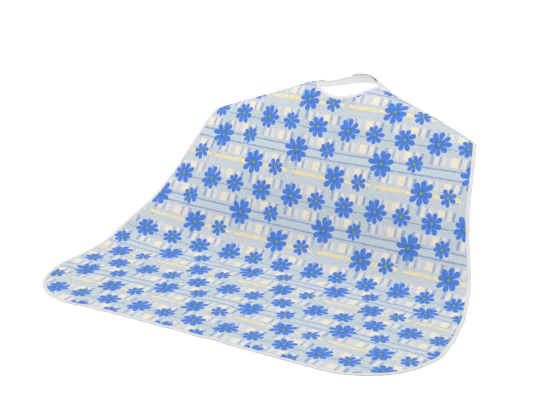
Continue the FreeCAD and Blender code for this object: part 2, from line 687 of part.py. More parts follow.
def fix_outline(sketch, tag, edges, inset):
    """Constrain one chain; edges run left side, corner, hem, corner, right side."""
    value, expression = inset
    side_left, arc_left, hem, arc_right, side_right = edges
    fold, tangent, _, hem_end, hem_far, _, tangent_far, fold_far = lap_points(value)
    joints = (tangent, hem_end, hem_far, tangent_far)
    for a, b, point in zip(edges, edges[1:], joints):
        sketch.addConstraint(Sketcher.Constraint(
            "Tangent", a, end_near(sketch, a, point), b, end_near(sketch, b, point)))
    bind(sketch, "Radius", (arc_left,), dim("corner_radius") - value, "radius_" + tag,
         "dims.corner_radius - (%s)" % expression)
    sketch.addConstraint(Sketcher.Constraint("Equal", arc_left, arc_right))
    centre_x = "dims.lap_max_half - dims.corner_radius"
    bind(sketch, "DistanceX", ORIGIN + (arc_left, CENTRE), hem_end.x,
         "centre_left_" + tag, centre_x)
    bind(sketch, "DistanceX", (arc_right, CENTRE) + ORIGIN, hem_end.x,
         "centre_right_" + tag, centre_x)
    sketch.addConstraint(Sketcher.Constraint("Horizontal", hem))
    bind(sketch, "DistanceY", (hem, end_near(sketch, hem, hem_end)) + ORIGIN, -hem_end.y,
         "hem_" + tag, "dims.hem_w - dims.origin_w - (%s)" % expression)
    for edge, point, name in ((side_left, fold, "left_" + tag),
                              (side_right, fold_far, "right_" + tag)):
        top = (edge, end_near(sketch, edge, point))
        bind(sketch, "DistanceX", ORIGIN + top if point.x > 0 else top + ORIGIN, fold.x,
             "half_" + name, "dims.lap_top_half - (%s)" % expression)
        bind(sketch, "DistanceY", ORIGIN + top, fold.y, "top_" + name,
             "dims.origin_w - dims.fold_w - dims.fold_gap")


def lap_piece(label, insets, bottom, thick):
    """Pad of one whole outline (one inset) or of a U-shaped band (two insets)."""
    body = doc.addObject("PartDesign::Body", label)
    body.Label = label
    plane = [f for f in body.Origin.OriginFeatures if f.Role == "XY_Plane"][0]
    sketch = body.newObject("Sketcher::SketchObject", label + "_outline")
    sketch.AttachmentSupport = (plane, [""])
    sketch.MapMode = "FlatFace"
    sketch.setExpression("AttachmentOffset.Base.z", bottom)

    outer = lap_points(insets[0][0])
    if len(insets) == 1:
        geometry = [Part.LineSegment(outer[-1], outer[0])] + outline_chain(outer)
        chains = [(1, 2, 3, 4, 5)]
        corners = [(0, END, 1, START), (0, START, 5, END)]
    else:
        inner = lap_points(insets[1][0])
        geometry = outline_chain(outer) + [Part.LineSegment(outer[-1], inner[-1])]
        geometry += outline_chain(inner[::-1]) + [Part.LineSegment(inner[0], outer[0])]
        chains = [(0, 1, 2, 3, 4), (10, 9, 8, 7, 6)]
        corners = [(4, END, 5, START), (5, END, 6, START),
                   (10, END, 11, START), (11, END, 0, START)]
    sketch.addGeometry(geometry, False)
    for tag, edges, inset in zip("ab", chains, insets):
        fix_outline(sketch, tag, edges, inset)
    for corner in corners:
        sketch.addConstraint(Sketcher.Constraint("Coincident", *corner))

    pad = body.newObject("PartDesign::Pad", label + "_pad")
    pad.Profile = sketch
    pad.setExpression("Length", thick)


lap_piece("lap_printed_cloth", [AT_CLOTH], "dims.face_bottom", "dims.face_thick")
lap_piece("lap_waterproof_backing", [AT_CLOTH], "dims.backing_bottom", "dims.backing_thick")
lap_piece("hem_binding", [AT_EDGE, AT_TAPE], "0", "dims.binding_total")
lap_piece("hem_stitching", [AT_STITCH_OUTER, AT_STITCH_INNER],
          "dims.binding_total + dims.thread_lift", "dims.thread_thick")

doc.recompute()

# ---------------------------------------------------------------- check and write
bad = ["%s is %s" % (o.Name, o.State) for o in doc.Objects
       if "Invalid" in o.State or "Error" in o.State]
parts = [o for o in doc.Objects if o.TypeId in ("PartDesign::Body", "Part::Feature")]
for part in parts:
    if part.Shape.isNull() or not part.Shape.isValid():
        bad.append("%s has no valid shape" % part.Label)
    elif len(part.Shape.Solids) != 1:
        bad.append("%s has %d solids" % (part.Label, len(part.Shape.Solids)))
if bad:
    raise RuntimeError("; ".join(bad))

os.makedirs("parts", exist_ok=True)
for old in os.listdir("parts"):
    if old.endswith(".step"):
        os.remove(os.path.join("parts", old))
for part in parts:
    part.Shape.exportStep("parts/%s.step" % part.Label)
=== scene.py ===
import json
import math

import bpy
import numpy as np
from mathutils import Matrix, Vector

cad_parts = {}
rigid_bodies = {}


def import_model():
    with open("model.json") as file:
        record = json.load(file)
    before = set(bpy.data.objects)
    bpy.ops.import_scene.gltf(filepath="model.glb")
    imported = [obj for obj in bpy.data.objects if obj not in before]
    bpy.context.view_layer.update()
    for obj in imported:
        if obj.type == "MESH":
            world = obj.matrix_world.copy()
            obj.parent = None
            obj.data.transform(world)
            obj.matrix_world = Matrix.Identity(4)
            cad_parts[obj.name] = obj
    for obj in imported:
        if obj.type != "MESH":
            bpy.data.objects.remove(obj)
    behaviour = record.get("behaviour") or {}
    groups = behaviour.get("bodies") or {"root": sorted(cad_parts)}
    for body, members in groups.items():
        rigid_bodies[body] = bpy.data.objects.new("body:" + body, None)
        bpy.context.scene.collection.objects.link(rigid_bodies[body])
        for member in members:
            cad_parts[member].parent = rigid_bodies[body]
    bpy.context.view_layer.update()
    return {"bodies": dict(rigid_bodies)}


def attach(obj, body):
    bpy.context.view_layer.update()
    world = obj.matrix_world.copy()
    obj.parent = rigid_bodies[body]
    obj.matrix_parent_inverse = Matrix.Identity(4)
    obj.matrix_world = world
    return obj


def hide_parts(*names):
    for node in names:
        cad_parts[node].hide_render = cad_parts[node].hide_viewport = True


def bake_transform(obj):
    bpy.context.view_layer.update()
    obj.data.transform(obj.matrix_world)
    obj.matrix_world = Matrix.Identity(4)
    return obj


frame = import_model()
rng = np.random.default_rng(7)

# ------------------------------------------------------------------ the flat pattern, mm
# x across the cloth from the middle plane, w up the cloth from the front shoulder level.
ORIGIN_W = 734.5
HEM, FOLD = -740.0, -430.0
BIND = 8.2                 # visible width of the folded tape
CORNER = 172.0
LAP_MAX = 464.0
HALF = [(-568.0, 463.6), (-500.0, 457.5), (-430.0, 448.0), (-398.0, 442.0), (-319.0, 417.0),
        (-254.0, 394.0), (-175.0, 372.0), (-92.0, 355.0), (-20.0, 339.0)]
RISE, FALL = 123.0, 0.349
SHOULDER_R = 22.0
NECK_A, NECK_B, NECK_TOP = 74.0, 61.0, 97.0
SEC = math.sqrt(1.0 + FALL * FALL)


def smooth(t):
    t = np.clip(t, 0.0, 1.0)
    return t * t * (3.0 - 2.0 * t)


# ------------------------------------------------------------------ drape
CH, BR, BK, NP = (math.radians(a) for a in (68.2, 61.3, 60.0, 25.0))
W_LO, W_HI, W_N = -760.0, 200.0, 1921
X_N, X_MAX = 121, 480.0
DW = (W_HI - W_LO) / (W_N - 1)
DX = 2.0 * X_MAX / (X_N - 1)
gx = np.linspace(-X_MAX, X_MAX, X_N)[:, None]
gw = np.linspace(W_LO, W_HI, W_N)[None, :]


def slope(x, w):
    mid = -336.5 + 0.061 * np.minimum(x, 0.0) + 2.2 * (x / 300.0) ** 2
    lean = CH + 0.135 * np.clip(x, -330.0, 0.0) / 300.0
    a = lean * smooth((w - (mid - 96.0)) / 192.0)
    a = a + (BR - lean) * smooth((w + 260.0) / 260.0)
    side = smooth((np.abs(x) - 100.0) / 130.0)
    fall = NP + (BK - NP) * side
    yoke = smooth((np.abs(x) - 50.0) / 70.0) * (1.0 - smooth((np.abs(x) - 225.0) / 150.0))
    # the crest runs a little lower on the wearer's right
    wc = 95.3 - FALL * np.abs(x) - 8.0 * (1.0 - side) + np.where(x < 0.0, 3.5, 9.0) * yoke \
        - 5.0 * smooth((-x - 110.0) / 130.0) + 3.0 * smooth((x - 110.0) / 110.0)
    k = smooth((w - (wc - 55.0)) / 110.0)
    return a * (1.0 - k) - fall * k


ang = slope(gx, gw + DW / 2.0)
TY = np.cumsum(np.cos(ang) * DW, 1) - np.cos(ang) * DW + W_LO + ORIGIN_W
TZ = np.cumsum(np.sin(ang) * DW, 1) - np.sin(ang) * DW
TY = TY + 12.9 * (np.abs(gx) / 300.0) ** 2 * smooth((gw + 330.0) / 300.0)
dy = np.diff(TY, axis=0) / DX
dz = np.diff(TZ, axis=0) / DX
stepx = DX * np.sqrt(np.clip(1.0 - dy * dy - dz * dz, 0.3, 1.0))
TX = np.concatenate([np.zeros((1, W_N)), np.cumsum(stepx, 0)], 0)
TX = TX - TX[X_N // 2]
# the front corner on the wearer's right is pulled out a little
_pull = np.exp(-((gx + 400.0) / 160.0) ** 2 - ((gw + 690.0) / 110.0) ** 2)
TX, TY = TX + 1.0 * _pull, TY - 13.0 * _pull
TX = TX + 7.0 * (gx < 0) * (gx / 340.0) ** 2 * smooth((gw + 200.0) / 130.0)
# the sides sit a little toward the wearer's right, where the cape spreads over the table
TX = TX - (12.0 * (gx < 0) + 13.0 * (gx > 0)) * (gx / 400.0) ** 2 \
    * smooth((gw + 560.0) / 200.0) * (1.0 - smooth((gw + 160.0) / 160.0))


def bilinear(T, x, w):
    fi = np.clip((x + X_MAX) / DX, 0.0, X_N - 1.001)
    fj = np.clip((w - W_LO) / DW, 0.0, W_N - 1.001)
    i, j = fi.astype(int), fj.astype(int)
    u, v = fi - i, fj - j
    return ((T[i, j] * (1 - u) + T[i + 1, j] * u) * (1 - v)
            + (T[i, j + 1] * (1 - u) + T[i + 1, j + 1] * u) * v)


def base_point(x, w):
    return np.stack([bilinear(TX, x, w), bilinear(TY, x, w), bilinear(TZ, x, w)], -1)


def base_normal(x, w, e=5.0):
    n = np.cross(base_point(x + e, w) - base_point(x - e, w), base_point(x, w + e) - base_point(x, w - e))
    return n / np.linalg.norm(n, axis=-1, keepdims=True)


# soft waves: (x, w, size along x, size along w, turn in degrees, height), mm
WAVES = [
    (-440.0, -330.0, 120.0, 90.0, 0.0, 22.0),
    (-232.0, -590.0, 46.0, 120.0, 10.0, 5.0), (-20.0, -610.0, 42.0, 105.0, -6.0, 6.5),
    (92.0, -560.0, 40.0, 120.0, -12.0, 4.5), (240.0, -600.0, 46.0, 100.0, -20.0, 6.0),
    (-360.0, -520.0, 40.0, 90.0, 22.0, 4.5), (372.0, -500.0, 38.0, 90.0, -25.0, 4.0),
    (-300.0, -650.0, 34.0, 70.0, 30.0, 4.5), (-130.0, -640.0, 30.0, 80.0, 4.0, 4.0),
    (60.0, -690.0, 26.0, 50.0, -4.0, 3.0), (300.0, -690.0, 30.0, 46.0, 12.0, 3.2),
    (-120.0, -470.0, 60.0, 46.0, 12.0, 3.0), (150.0, -430.0, 90.0, 40.0, -8.0, 3.5),
    (-110.0, -120.0, 30.0, 150.0, -20.0, 2.6), (118.0, -130.0, 32.0, 150.0, 21.0, 2.8),
    (10.0, -200.0, 60.0, 110.0, 3.0, -2.2), (-230.0, -210.0, 40.0, 130.0, -28.0, 2.4),
    (246.0, -190.0, 42.0, 140.0, 26.0, 2.6), (-40.0, -330.0, 150.0, 34.0, 4.0, 2.4),
]
SAG = None                  # how far the settled cloth moved, on an even lattice


def turn_back(x, w):
    """The hanging side edges curl back toward the wearer."""
    d = np.interp(w, [a for a, _ in HALF], [b for _, b in HALF]) - np.abs(x)
    k = np.clip(1.0 - d / 34.0, 0.0, 1.4) ** 2
    return -5.5 * k * smooth((w + 400.0) / 120.0) * (1.0 - smooth((w + 60.0) / 50.0))


def ripple(x, w):
    """Height of the cloth's soft waves above the plain drape, mm."""
    h = np.zeros_like(x)
    for cx, cw, sx, sw, turn, amp in WAVES:
        c, s = math.cos(math.radians(turn)), math.sin(math.radians(turn))
        a, b = (x - cx) * c + (w - cw) * s, -(x - cx) * s + (w - cw) * c
        h += 1.45 * amp * np.exp(-(a / sx) ** 2 - (b / sw) ** 2)
    return h


def rest_point(x, w):
    x, w = np.asarray(x, float), np.asarray(w, float)
    p = base_point(x, w) + base_normal(x, w) * (ripple(x, w) + turn_back(x, w))[..., None]
    return p if SAG is None else p + spline(SAG, x, w)


SX0, SX1, SW0, SW1, STEP = -480.0, 480.0, -756.0, 144.0, 12.0


def spline(T, x, w):
    """Smooth (cubic B-spline) reading of an even lattice."""
    fi, fj = (x - SX0) / STEP, (w - SW0) / STEP
    i, j = np.floor(fi).astype(int), np.floor(fj).astype(int)
    out = 0.0
    for a in range(-1, 3):
        ka = bspline(fi - i - a)
        ia = np.clip(i + a, 0, T.shape[0] - 1)
        for b in range(-1, 3):
            jb = np.clip(j + b, 0, T.shape[1] - 1)
            out = out + T[ia, jb] * (ka * bspline(fj - j - b))[..., None]
    return out


def bspline(t):
    t = np.abs(t)
    return np.where(t < 1.0, 2.0 / 3.0 - t * t + t ** 3 / 2.0, np.clip(2.0 - t, 0.0, None) ** 3 / 6.0)


def rest_normal(x, w, e=3.0):
    n = np.cross(rest_point(x + e, w) - rest_point(x - e, w), rest_point(x, w + e) - rest_point(x, w - e))
    return n / np.linalg.norm(n, axis=-1, keepdims=True)


def place(x, w, lift=0.0):
    """Flat pattern (mm) to the row frame (m), lifted along the outward normal."""
    x, w = np.asarray(x, float), np.asarray(w, float)
    lift = np.asarray(lift, float)
    p = rest_point(x, w) + rest_normal(x, w) * (lift[..., None] if lift.ndim else lift)
    p[..., 2] = np.maximum(p[..., 2], np.where(w < -330.0, np.minimum(lift, 0.0) * 0.2 + lift * 0.3, -1e3))
    return p / 1000.0


# ------------------------------------------------------------------ outline
def half_width(w):
    ws, hs = [a for a, _ in HALF], [b for _, b in HALF]
    return np.interp(w, ws, hs)


def densify(pts, step):
    """Even stations along a polyline."""
    p = np.asarray(pts, float)
    seg = np.hypot(*np.diff(p, axis=0).T)
    keep = np.concatenate([[True], seg > 1e-9])
    p = p[keep]
    s = np.concatenate([[0.0], np.cumsum(np.hypot(*np.diff(p, axis=0).T))])
    n = max(2, int(round(s[-1] / step)) + 1)
    t = np.linspace(0.0, s[-1], n)
    return np.stack([np.interp(t, s, p[:, 0]), np.interp(t, s, p[:, 1])], -1)


def smooth_line(p, passes=3, keep=2):
    p = p.copy()
    for _ in range(passes):
        q = p.copy()
        q[keep:-keep] = 0.25 * p[keep - 1:-keep - 1] + 0.5 * p[keep:-keep] + 0.25 * p[keep + 1:len(p) - keep + 1]
        p = q
    return p


def side_line():
    """Right edge from the end of the hem, round the corner, up the side to the shoulder corner."""
    pts = []
    cx, cy = LAP_MAX - CORNER, HEM + CORNER
    for k in range(61):
        a = -math.pi / 2.0 + math.pi / 2.0 * k / 60.0
        pts.append((cx + CORNER * math.cos(a), cy + CORNER * math.sin(a)))
    w = np.linspace(cy + 6.0, -5.2, 120)
    pts += list(zip(half_width(w), w))
    # shoulder corner
    x0, w0 = float(half_width(np.array(-5.2))), -5.2
    d1 = np.array([-0.217, 0.976])
    d2 = np.array([-1.0 / SEC, FALL / SEC])
    n1 = np.array([-d1[1], d1[0]])
    cen = np.array([335.7, -5.2]) + n1 * SHOULDER_R
    a0 = math.atan2(-n1[1], -n1[0])
    turn = math.acos(float(d1 @ d2))
    arc = [tuple(cen + SHOULDER_R * np.array([math.cos(a0 + turn * t), math.sin(a0 + turn * t)]))
           for t in np.linspace(0.05, 1.0, 14)]
    return np.array(pts), np.array(arc)


_side, _arc = side_line()
_mid = len(_arc) // 2
SIDE = np.vstack([_side, _arc[:_mid + 1]])
TOP_HEAD = _arc[_mid:]
ROOT = np.array([NECK_A, NECK_TOP])
NECK = np.array([(NECK_A * math.cos(m), NECK_TOP - NECK_B * math.sin(m)) for m in np.linspace(0.0, math.pi / 2.0, 40)])
SHOULDER = np.vstack([TOP_HEAD, [ROOT]])

# ------------------------------------------------------------------ settle the cloth
def inside(x, w):
    a = np.abs(x)
    cy = HEM + CORNER
    edge = np.where(w > cy, half_width(w),
                    LAP_MAX - CORNER + np.sqrt(np.clip(CORNER ** 2 - (w - cy) ** 2, 0.0, None)))
    neck = (x / NECK_A) ** 2 + ((w - NECK_TOP) / NECK_B) ** 2 < 1.0
    return (a <= edge) & (w >= HEM) & (w <= RISE - FALL * a) & ~(neck | ((a < NECK_A) & (w > NECK_TOP)))


def quad_mesh(name, P, keep):
    """Mesh over the kept places of a lattice of points (m)."""
    idx = -np.ones(keep.shape, int)
    idx[keep] = np.arange(keep.sum())
    q = np.stack([idx[:-1, :-1], idx[1:, :-1], idx[1:, 1:], idx[:-1, 1:]], -1).reshape(-1, 4)
    q = q[(q >= 0).all(1)]
    me = bpy.data.meshes.new(name)
    me.from_pydata([tuple(v) for v in P[keep]], [], [tuple(int(k) for k in f) for f in q])
    me.update()
    ob = bpy.data.objects.new(name, me)
    bpy.context.scene.collection.objects.link(ob)
    return ob


def settle(frames=34):
    """Cloth simulation over the table top and the chest: the cloth sags and buckles a little.
    Returns how far each lattice place moved, mm."""
    xs, ws = np.arange(SX0, SX1 + 1, STEP), np.arange(SW0, SW1 + 1, STEP)
    X, W = np.meshgrid(xs, ws, indexing="ij")
    keep = inside(X, W)
    r = np.random.default_rng(3)
    start = place(X, W, 0.9)
    cloth = quad_mesh("cloth_sheet", start + r.normal(0.0, 0.00015, start.shape), keep)
    # what the cloth rests on
    body = quad_mesh("chest_support", place(X, W, -3.0), keep & (W > -250.0))
    bpy.ops.mesh.primitive_plane_add(size=3.0, location=(0.0, 0.4, -0.0011))
    table = bpy.context.object
    for ob in (body, table):
        ob.modifiers.new("collide", "COLLISION")
        ob.collision.thickness_outer = 0.001
        ob.collision.thickness_inner = 0.02
        ob.collision.cloth_friction = 6.0
    # held at the neckline and shoulders, loosely led elsewhere
    top = (RISE - FALL * np.abs(X) - W) / SEC
    ring = np.sqrt((X / NECK_A) ** 2 + ((W - NECK_TOP) / NECK_B) ** 2) - 1.0
    near = np.minimum(top, np.where(W < NECK_TOP, ring * 60.0, 1e3))
    lead = 0.10 + 0.90 * (1.0 - smooth((near - 22.0) / 70.0))
    rim = np.minimum(half_width(W) - np.abs(X), W - HEM)
    lead = np.maximum(lead, 0.10 + 0.25 * (1.0 - smooth(rim / 30.0)))
    g = cloth.vertex_groups.new(name="lead")
    for i, v in enumerate(lead[keep]):
        g.add([i], float(v), "REPLACE")
    m = cloth.modifiers.new("cloth", "CLOTH")
    c = m.settings
    c.quality = 7
    c.mass = 0.06
    c.air_damping = 3.0
    c.tension_stiffness = c.compression_stiffness = 40.0
    c.shear_stiffness = 12.0
    c.bending_stiffness = 0.35
    c.tension_damping = c.compression_damping = 12.0
    c.bending_damping = 1.0
    c.vertex_group_mass = "lead"
    c.pin_stiffness = 1.2
    c.shrink_min = -0.011
    m.collision_settings.distance_min = 0.0011
    m.collision_settings.collision_quality = 2
    m.point_cache.frame_start, m.point_cache.frame_end = 1, frames
    sc = bpy.context.scene
    sc.frame_start, sc.frame_end = 1, frames
    for f in range(1, frames + 1):
        sc.frame_set(f)
    ev = cloth.evaluated_get(bpy.context.evaluated_depsgraph_get())
    co = np.zeros(len(ev.data.vertices) * 3)
    ev.data.vertices.foreach_get("co", co)
    moved = np.zeros(X.shape + (3,))
    moved[keep] = (co.reshape(-1, 3) - start[keep]) * 1000.0
    for ob in (cloth, body, table):
        bpy.data.objects.remove(ob, do_unlink=True)
    sc.frame_set(1)
    size = np.linalg.norm(moved, axis=-1, keepdims=True)
    print("settled: mean %.2f mm, most %.2f mm" % (size[keep].mean(), size[keep].max()))
    moved = moved * (8.0 * np.tanh(size / 8.0) / np.maximum(size, 1e-6))
    # carry the movement a little past the edges
    known = keep.copy()
    for _ in range(6):
        acc, cnt = np.zeros_like(moved), np.zeros(X.shape)
        for di, dj in ((1, 0), (-1, 0), (0, 1), (0, -1)):
            k = np.roll(known, (di, dj), (0, 1))
            acc += np.roll(moved, (di, dj), (0, 1)) * k[..., None]
            cnt += k
        new = (~known) & (cnt > 0)
        moved[new] = acc[new] / cnt[new][:, None]
        known |= new
    moved[~known] = 0.0
    return moved


SAG = settle()

# grid over the whole cloth: rows run from the hem to the shoulder corner, columns across
side = smooth_line(densify(SIDE, 4.6), 2)
sh = densify(SHOULDER, 4.4)
nk = densify(NECK, 3.6)
top_right = np.vstack([sh, nk[1:]])
top = np.vstack([top_right, (top_right * [-1, 1])[::-1][1:]])[::-1]
n_col, n_row = len(top), len(side)
bottom_x = np.linspace(-side[0][0], side[0][0], n_col)


def make_grid():
    left, right = side * [-1, 1], side
    s = (top[:, 0] - top[0, 0]) / (top[-1, 0] - top[0, 0])
    t = np.linspace(0.0, 1.0, n_row)
    # rows keep the level of their side stations near the hem and the top's level near the top
    S, T = s[:, None], t[None, :]
    bot = np.stack([-side[0][0] + s * 2 * side[0][0], np.full(n_col, side[0][1])], -1)
    c00, c10, c01, c11 = left[0], right[0], top[0], top[-1]
    out = np.zeros((n_col, n_row, 2))
    for d in range(2):
        out[..., d] = ((1 - T) * bot[:, d][:, None] + T * top[:, d][:, None]
                       + (1 - S) * left[:, d][None, :] + S * right[:, d][None, :]
                       - ((1 - S) * (1 - T) * c00[d] + S * (1 - T) * c10[d] + (1 - S) * T * c01[d] + S * T * c11[d]))
    return out


GRID = make_grid()
# even out the inside of the grid while its edges stay
for _ in range(60):
    G = GRID.copy()
    G[1:-1, 1:-1] = 0.25 * (GRID[:-2, 1:-1] + GRID[2:, 1:-1] + GRID[1:-1, :-2] + GRID[1:-1, 2:])
    GRID = G

# ------------------------------------------------------------------ helpers
PU, RHO, U0 = 213.0, 0.7598, 0.1343


def mesh_object(name, verts, faces, attrs=None, smooth_shade=True):
    me = bpy.data.meshes.new(name)
    me.from_pydata([tuple(v) for v in verts], [], faces)
    me.update()
    if smooth_shade:
        me.polygons.foreach_set("use_smooth", [True] * len(me.polygons))
    for key, data in (attrs or {}).items():
        a = me.attributes.new(key, "FLOAT_VECTOR", "POINT")
        d = np.zeros((len(verts), 3), np.float32)
        data = np.asarray(data, np.float32)
        d[:, :data.shape[1]] = data
        a.data.foreach_set("vector", d.ravel())
    ob = bpy.data.objects.new(name, me)
    bpy.context.scene.collection.objects.link(ob)
    return ob


def print_uv(xw):
    return np.stack([xw[..., 0] / PU + U0, -xw[..., 1] / (PU * RHO), np.zeros(xw.shape[:-1])], -1)


def grid_faces(nu, nv, off=0, flip=False, wrap_u=False):
    out = []
    for i in range(nu if wrap_u else nu - 1):
        k = (i + 1) % nu
        for j in range(nv - 1):
            q = (off + i * nv + j, off + k * nv + j, off + k * nv + j + 1, off + i * nv + j + 1)
            out.append(q[::-1] if flip else q)
    return out


def sheet_piece(name, grid, low, high, uv=True):
    """A closed thin cloth: two faces and a rim."""
    nu, nv = grid.shape[:2]
    x, w = grid[..., 0].ravel(), grid[..., 1].ravel()
    top_v, bot_v = place(x, w, high), place(x, w, low)
    verts = np.vstack([top_v, bot_v])
    n = nu * nv
    faces = grid_faces(nu, nv) + grid_faces(nu, nv, n, True)
    ring = [i * nv for i in range(nu)] + [(nu - 1) * nv + j for j in range(1, nv)] \
        + [i * nv + nv - 1 for i in range(nu - 2, -1, -1)] + [j for j in range(nv - 2, 0, -1)]
    for a, b in zip(ring, ring[1:] + ring[:1]):
        faces.append((b, a, a + n, b + n))
    return mesh_object(name, verts, faces, {"cloth": print_uv(np.vstack([grid.reshape(-1, 2)] * 2))})


def inward(path, closed=False):
    """Unit inward normals of a path that keeps the cloth on its left."""
    if closed:
        t = np.roll(path, -1, 0) - np.roll(path, 1, 0)
    else:
        t = np.gradient(path, axis=0)
    t = t / np.linalg.norm(t, axis=1, keepdims=True)
    return np.stack([-t[:, 1], t[:, 0]], -1)


def arclen(path, scale=(1.0, 1.0)):
    return np.concatenate([[0.0], np.cumsum(np.linalg.norm(np.diff(path, axis=0), axis=1))])


def tape_profile(width, thick, crown=0.25, n=7):
    """Folded bias tape across the edge: (inward distance, height above the cloth's middle)."""
    half = thick / 2.0
    pts = []
    for k in range(n):
        f = k / (n - 1.0)
        d = width * (1.0 - f)
        roll = min(1.0, (width - d) / 0.8) if k else 0.0
        h = half + crown * math.sin(math.pi * min(1.0, d / width)) * 0.6
        if k == 0:
            h = 0.18
        pts.append((d, h))
    pts[-1] = (0.35, half * 0.92)
    nose = [(-0.12, half * 0.5), (-0.28, 0.0), (-0.12, -half * 0.5)]
    low = [(d, -h) for d, h in pts[::-1]]
    return pts + nose + low


def tape_piece(name, path, width=BIND, thick=1.75, mid=0.9, closed=False, pucker=0.16, seed=1, place_fn=place,
               norm_fn=None):
    nrm = inward(path, closed)
    prof = tape_profile(width, thick)
    s = arclen(path)
    r = np.random.default_rng(seed)
    ph = r.uniform(0, 6.28, 4)
    wob = 0.5 * np.sin(s / 3.1 + ph[0]) + 0.3 * np.sin(s / 5.3 + ph[1]) + 0.35 * np.sin(s / 11.0 + ph[2])
    wide = 0.35 * np.sin(s / 27.0 + ph[3]) + 0.2 * np.sin(s / 9.0 + ph[0])
    m = len(prof)
    P = np.zeros((len(path), m, 3))
    uvw = np.zeros((len(path), m, 3))
    for k, (d, h) in enumerate(prof):
        inner = d / width
        dd = d + wide * np.clip(inner, 0, 1) * (d > 0.5)
        q = path + nrm * dd[:, None] if isinstance(dd, np.ndarray) else path + nrm * dd
        bump = pucker * wob * math.sin(math.pi * min(1.0, max(0.0, inner))) * (1 if h > 0 else -1)
        P[:, k] = place_fn(q[:, 0], q[:, 1], mid + h + bump)
        uvw[:, k] = np.stack([s / 1000.0, np.full(len(s), (k / (m - 1.0)) * 2.2 * width / 1000.0),
                              np.full(len(s), d / width)], -1)
    nu = len(path)
    faces = grid_faces(nu, m, 0, False, closed)
    # close the inner ends of the fold so that the tape is a closed skin
    for i in range(nu if closed else nu - 1):
        k = (i + 1) % nu
        faces.append((i * m + m - 1, k * m + m - 1, k * m, i * m))
    if not closed:
        faces.append(tuple(range(m)))
        faces.append(tuple((nu - 1) * m + k for k in range(m))[::-1])
    ob = mesh_object(name, P.reshape(-1, 3), faces, {"tape": uvw.reshape(-1, 3)})
    fix_normals(ob)
    return ob


def fix_normals(ob):
    import bmesh
    bm = bmesh.new()
    bm.from_mesh(ob.data)
    bmesh.ops.recalc_face_normals(bm, faces=bm.faces)
    bm.to_mesh(ob.data)
    bm.free()


def stitch_piece(name, path, lift, pitch=3.0, length=2.2, radius=0.24, place_fn=place, both=None, seed=3):
    """A run of lockstitches lying in the cloth: each is a short thread that dips at both ends."""
    s = arclen(path)
    total = s[-1]
    r = np.random.default_rng(seed)
    n = int(total / pitch)
    verts, faces = [], []
    ring = 6
    prof = [(-0.5, 0.35, -0.30), (-0.36, 0.85, 0.02), (0.0, 1.0, 0.16), (0.36, 0.85, 0.02), (0.5, 0.35, -0.30)]
    sides = [(lift, 1.0)] if both is None else [(lift, 1.0), (both, -1.0)]
    for h0, sgn in sides:
        centres = (np.arange(n) + 0.5) * pitch + r.normal(0, 0.06, n)
        rows = []
        for f, fat, rise in prof:
            c = np.clip(centres + f * length, 0, total)
            q = np.stack([np.interp(c, s, path[:, 0]), np.interp(c, s, path[:, 1])], -1)
            rows.append((q, fat, rise))
        a, b = rows[0][0], rows[-1][0]
        t = b - a
        t = t / np.maximum(np.linalg.norm(t, axis=1, keepdims=True), 1e-6)
        sidev = np.stack([-t[:, 1], t[:, 0]], -1)
        pts = np.zeros((n, len(prof), ring, 3))
        for j, (q, fat, rise) in enumerate(rows):
            for k in range(ring):
                an = 2 * math.pi * k / ring
                off = sidev * (radius * fat * math.cos(an))
                hh = h0 + sgn * (rise * radius * 1.4 + radius * fat * math.sin(an))
                pts[:, j, k] = place_fn(q[:, 0] + off[:, 0], q[:, 1] + off[:, 1], np.full(n, hh))
        base = len(verts)
        verts.extend(pts.reshape(-1, 3).tolist())
        per = len(prof) * ring
        for i in range(n):
            o = base + i * per
            for j in range(len(prof) - 1):
                for k in range(ring):
                    k2 = (k + 1) % ring
                    q4 = (o + j * ring + k, o + (j + 1) * ring + k, o + (j + 1) * ring + k2, o + j * ring + k2)
                    faces.append(q4 if sgn > 0 else q4[::-1])
            c1 = tuple(o + k for k in range(ring))
            c2 = tuple(o + (len(prof) - 1) * ring + k for k in range(ring))[::-1]
            faces.append(c1 if sgn > 0 else c1[::-1])
            faces.append(c2 if sgn > 0 else c2[::-1])
    ob = mesh_object(name, np.array(verts), faces)
    fix_normals(ob)
    return ob


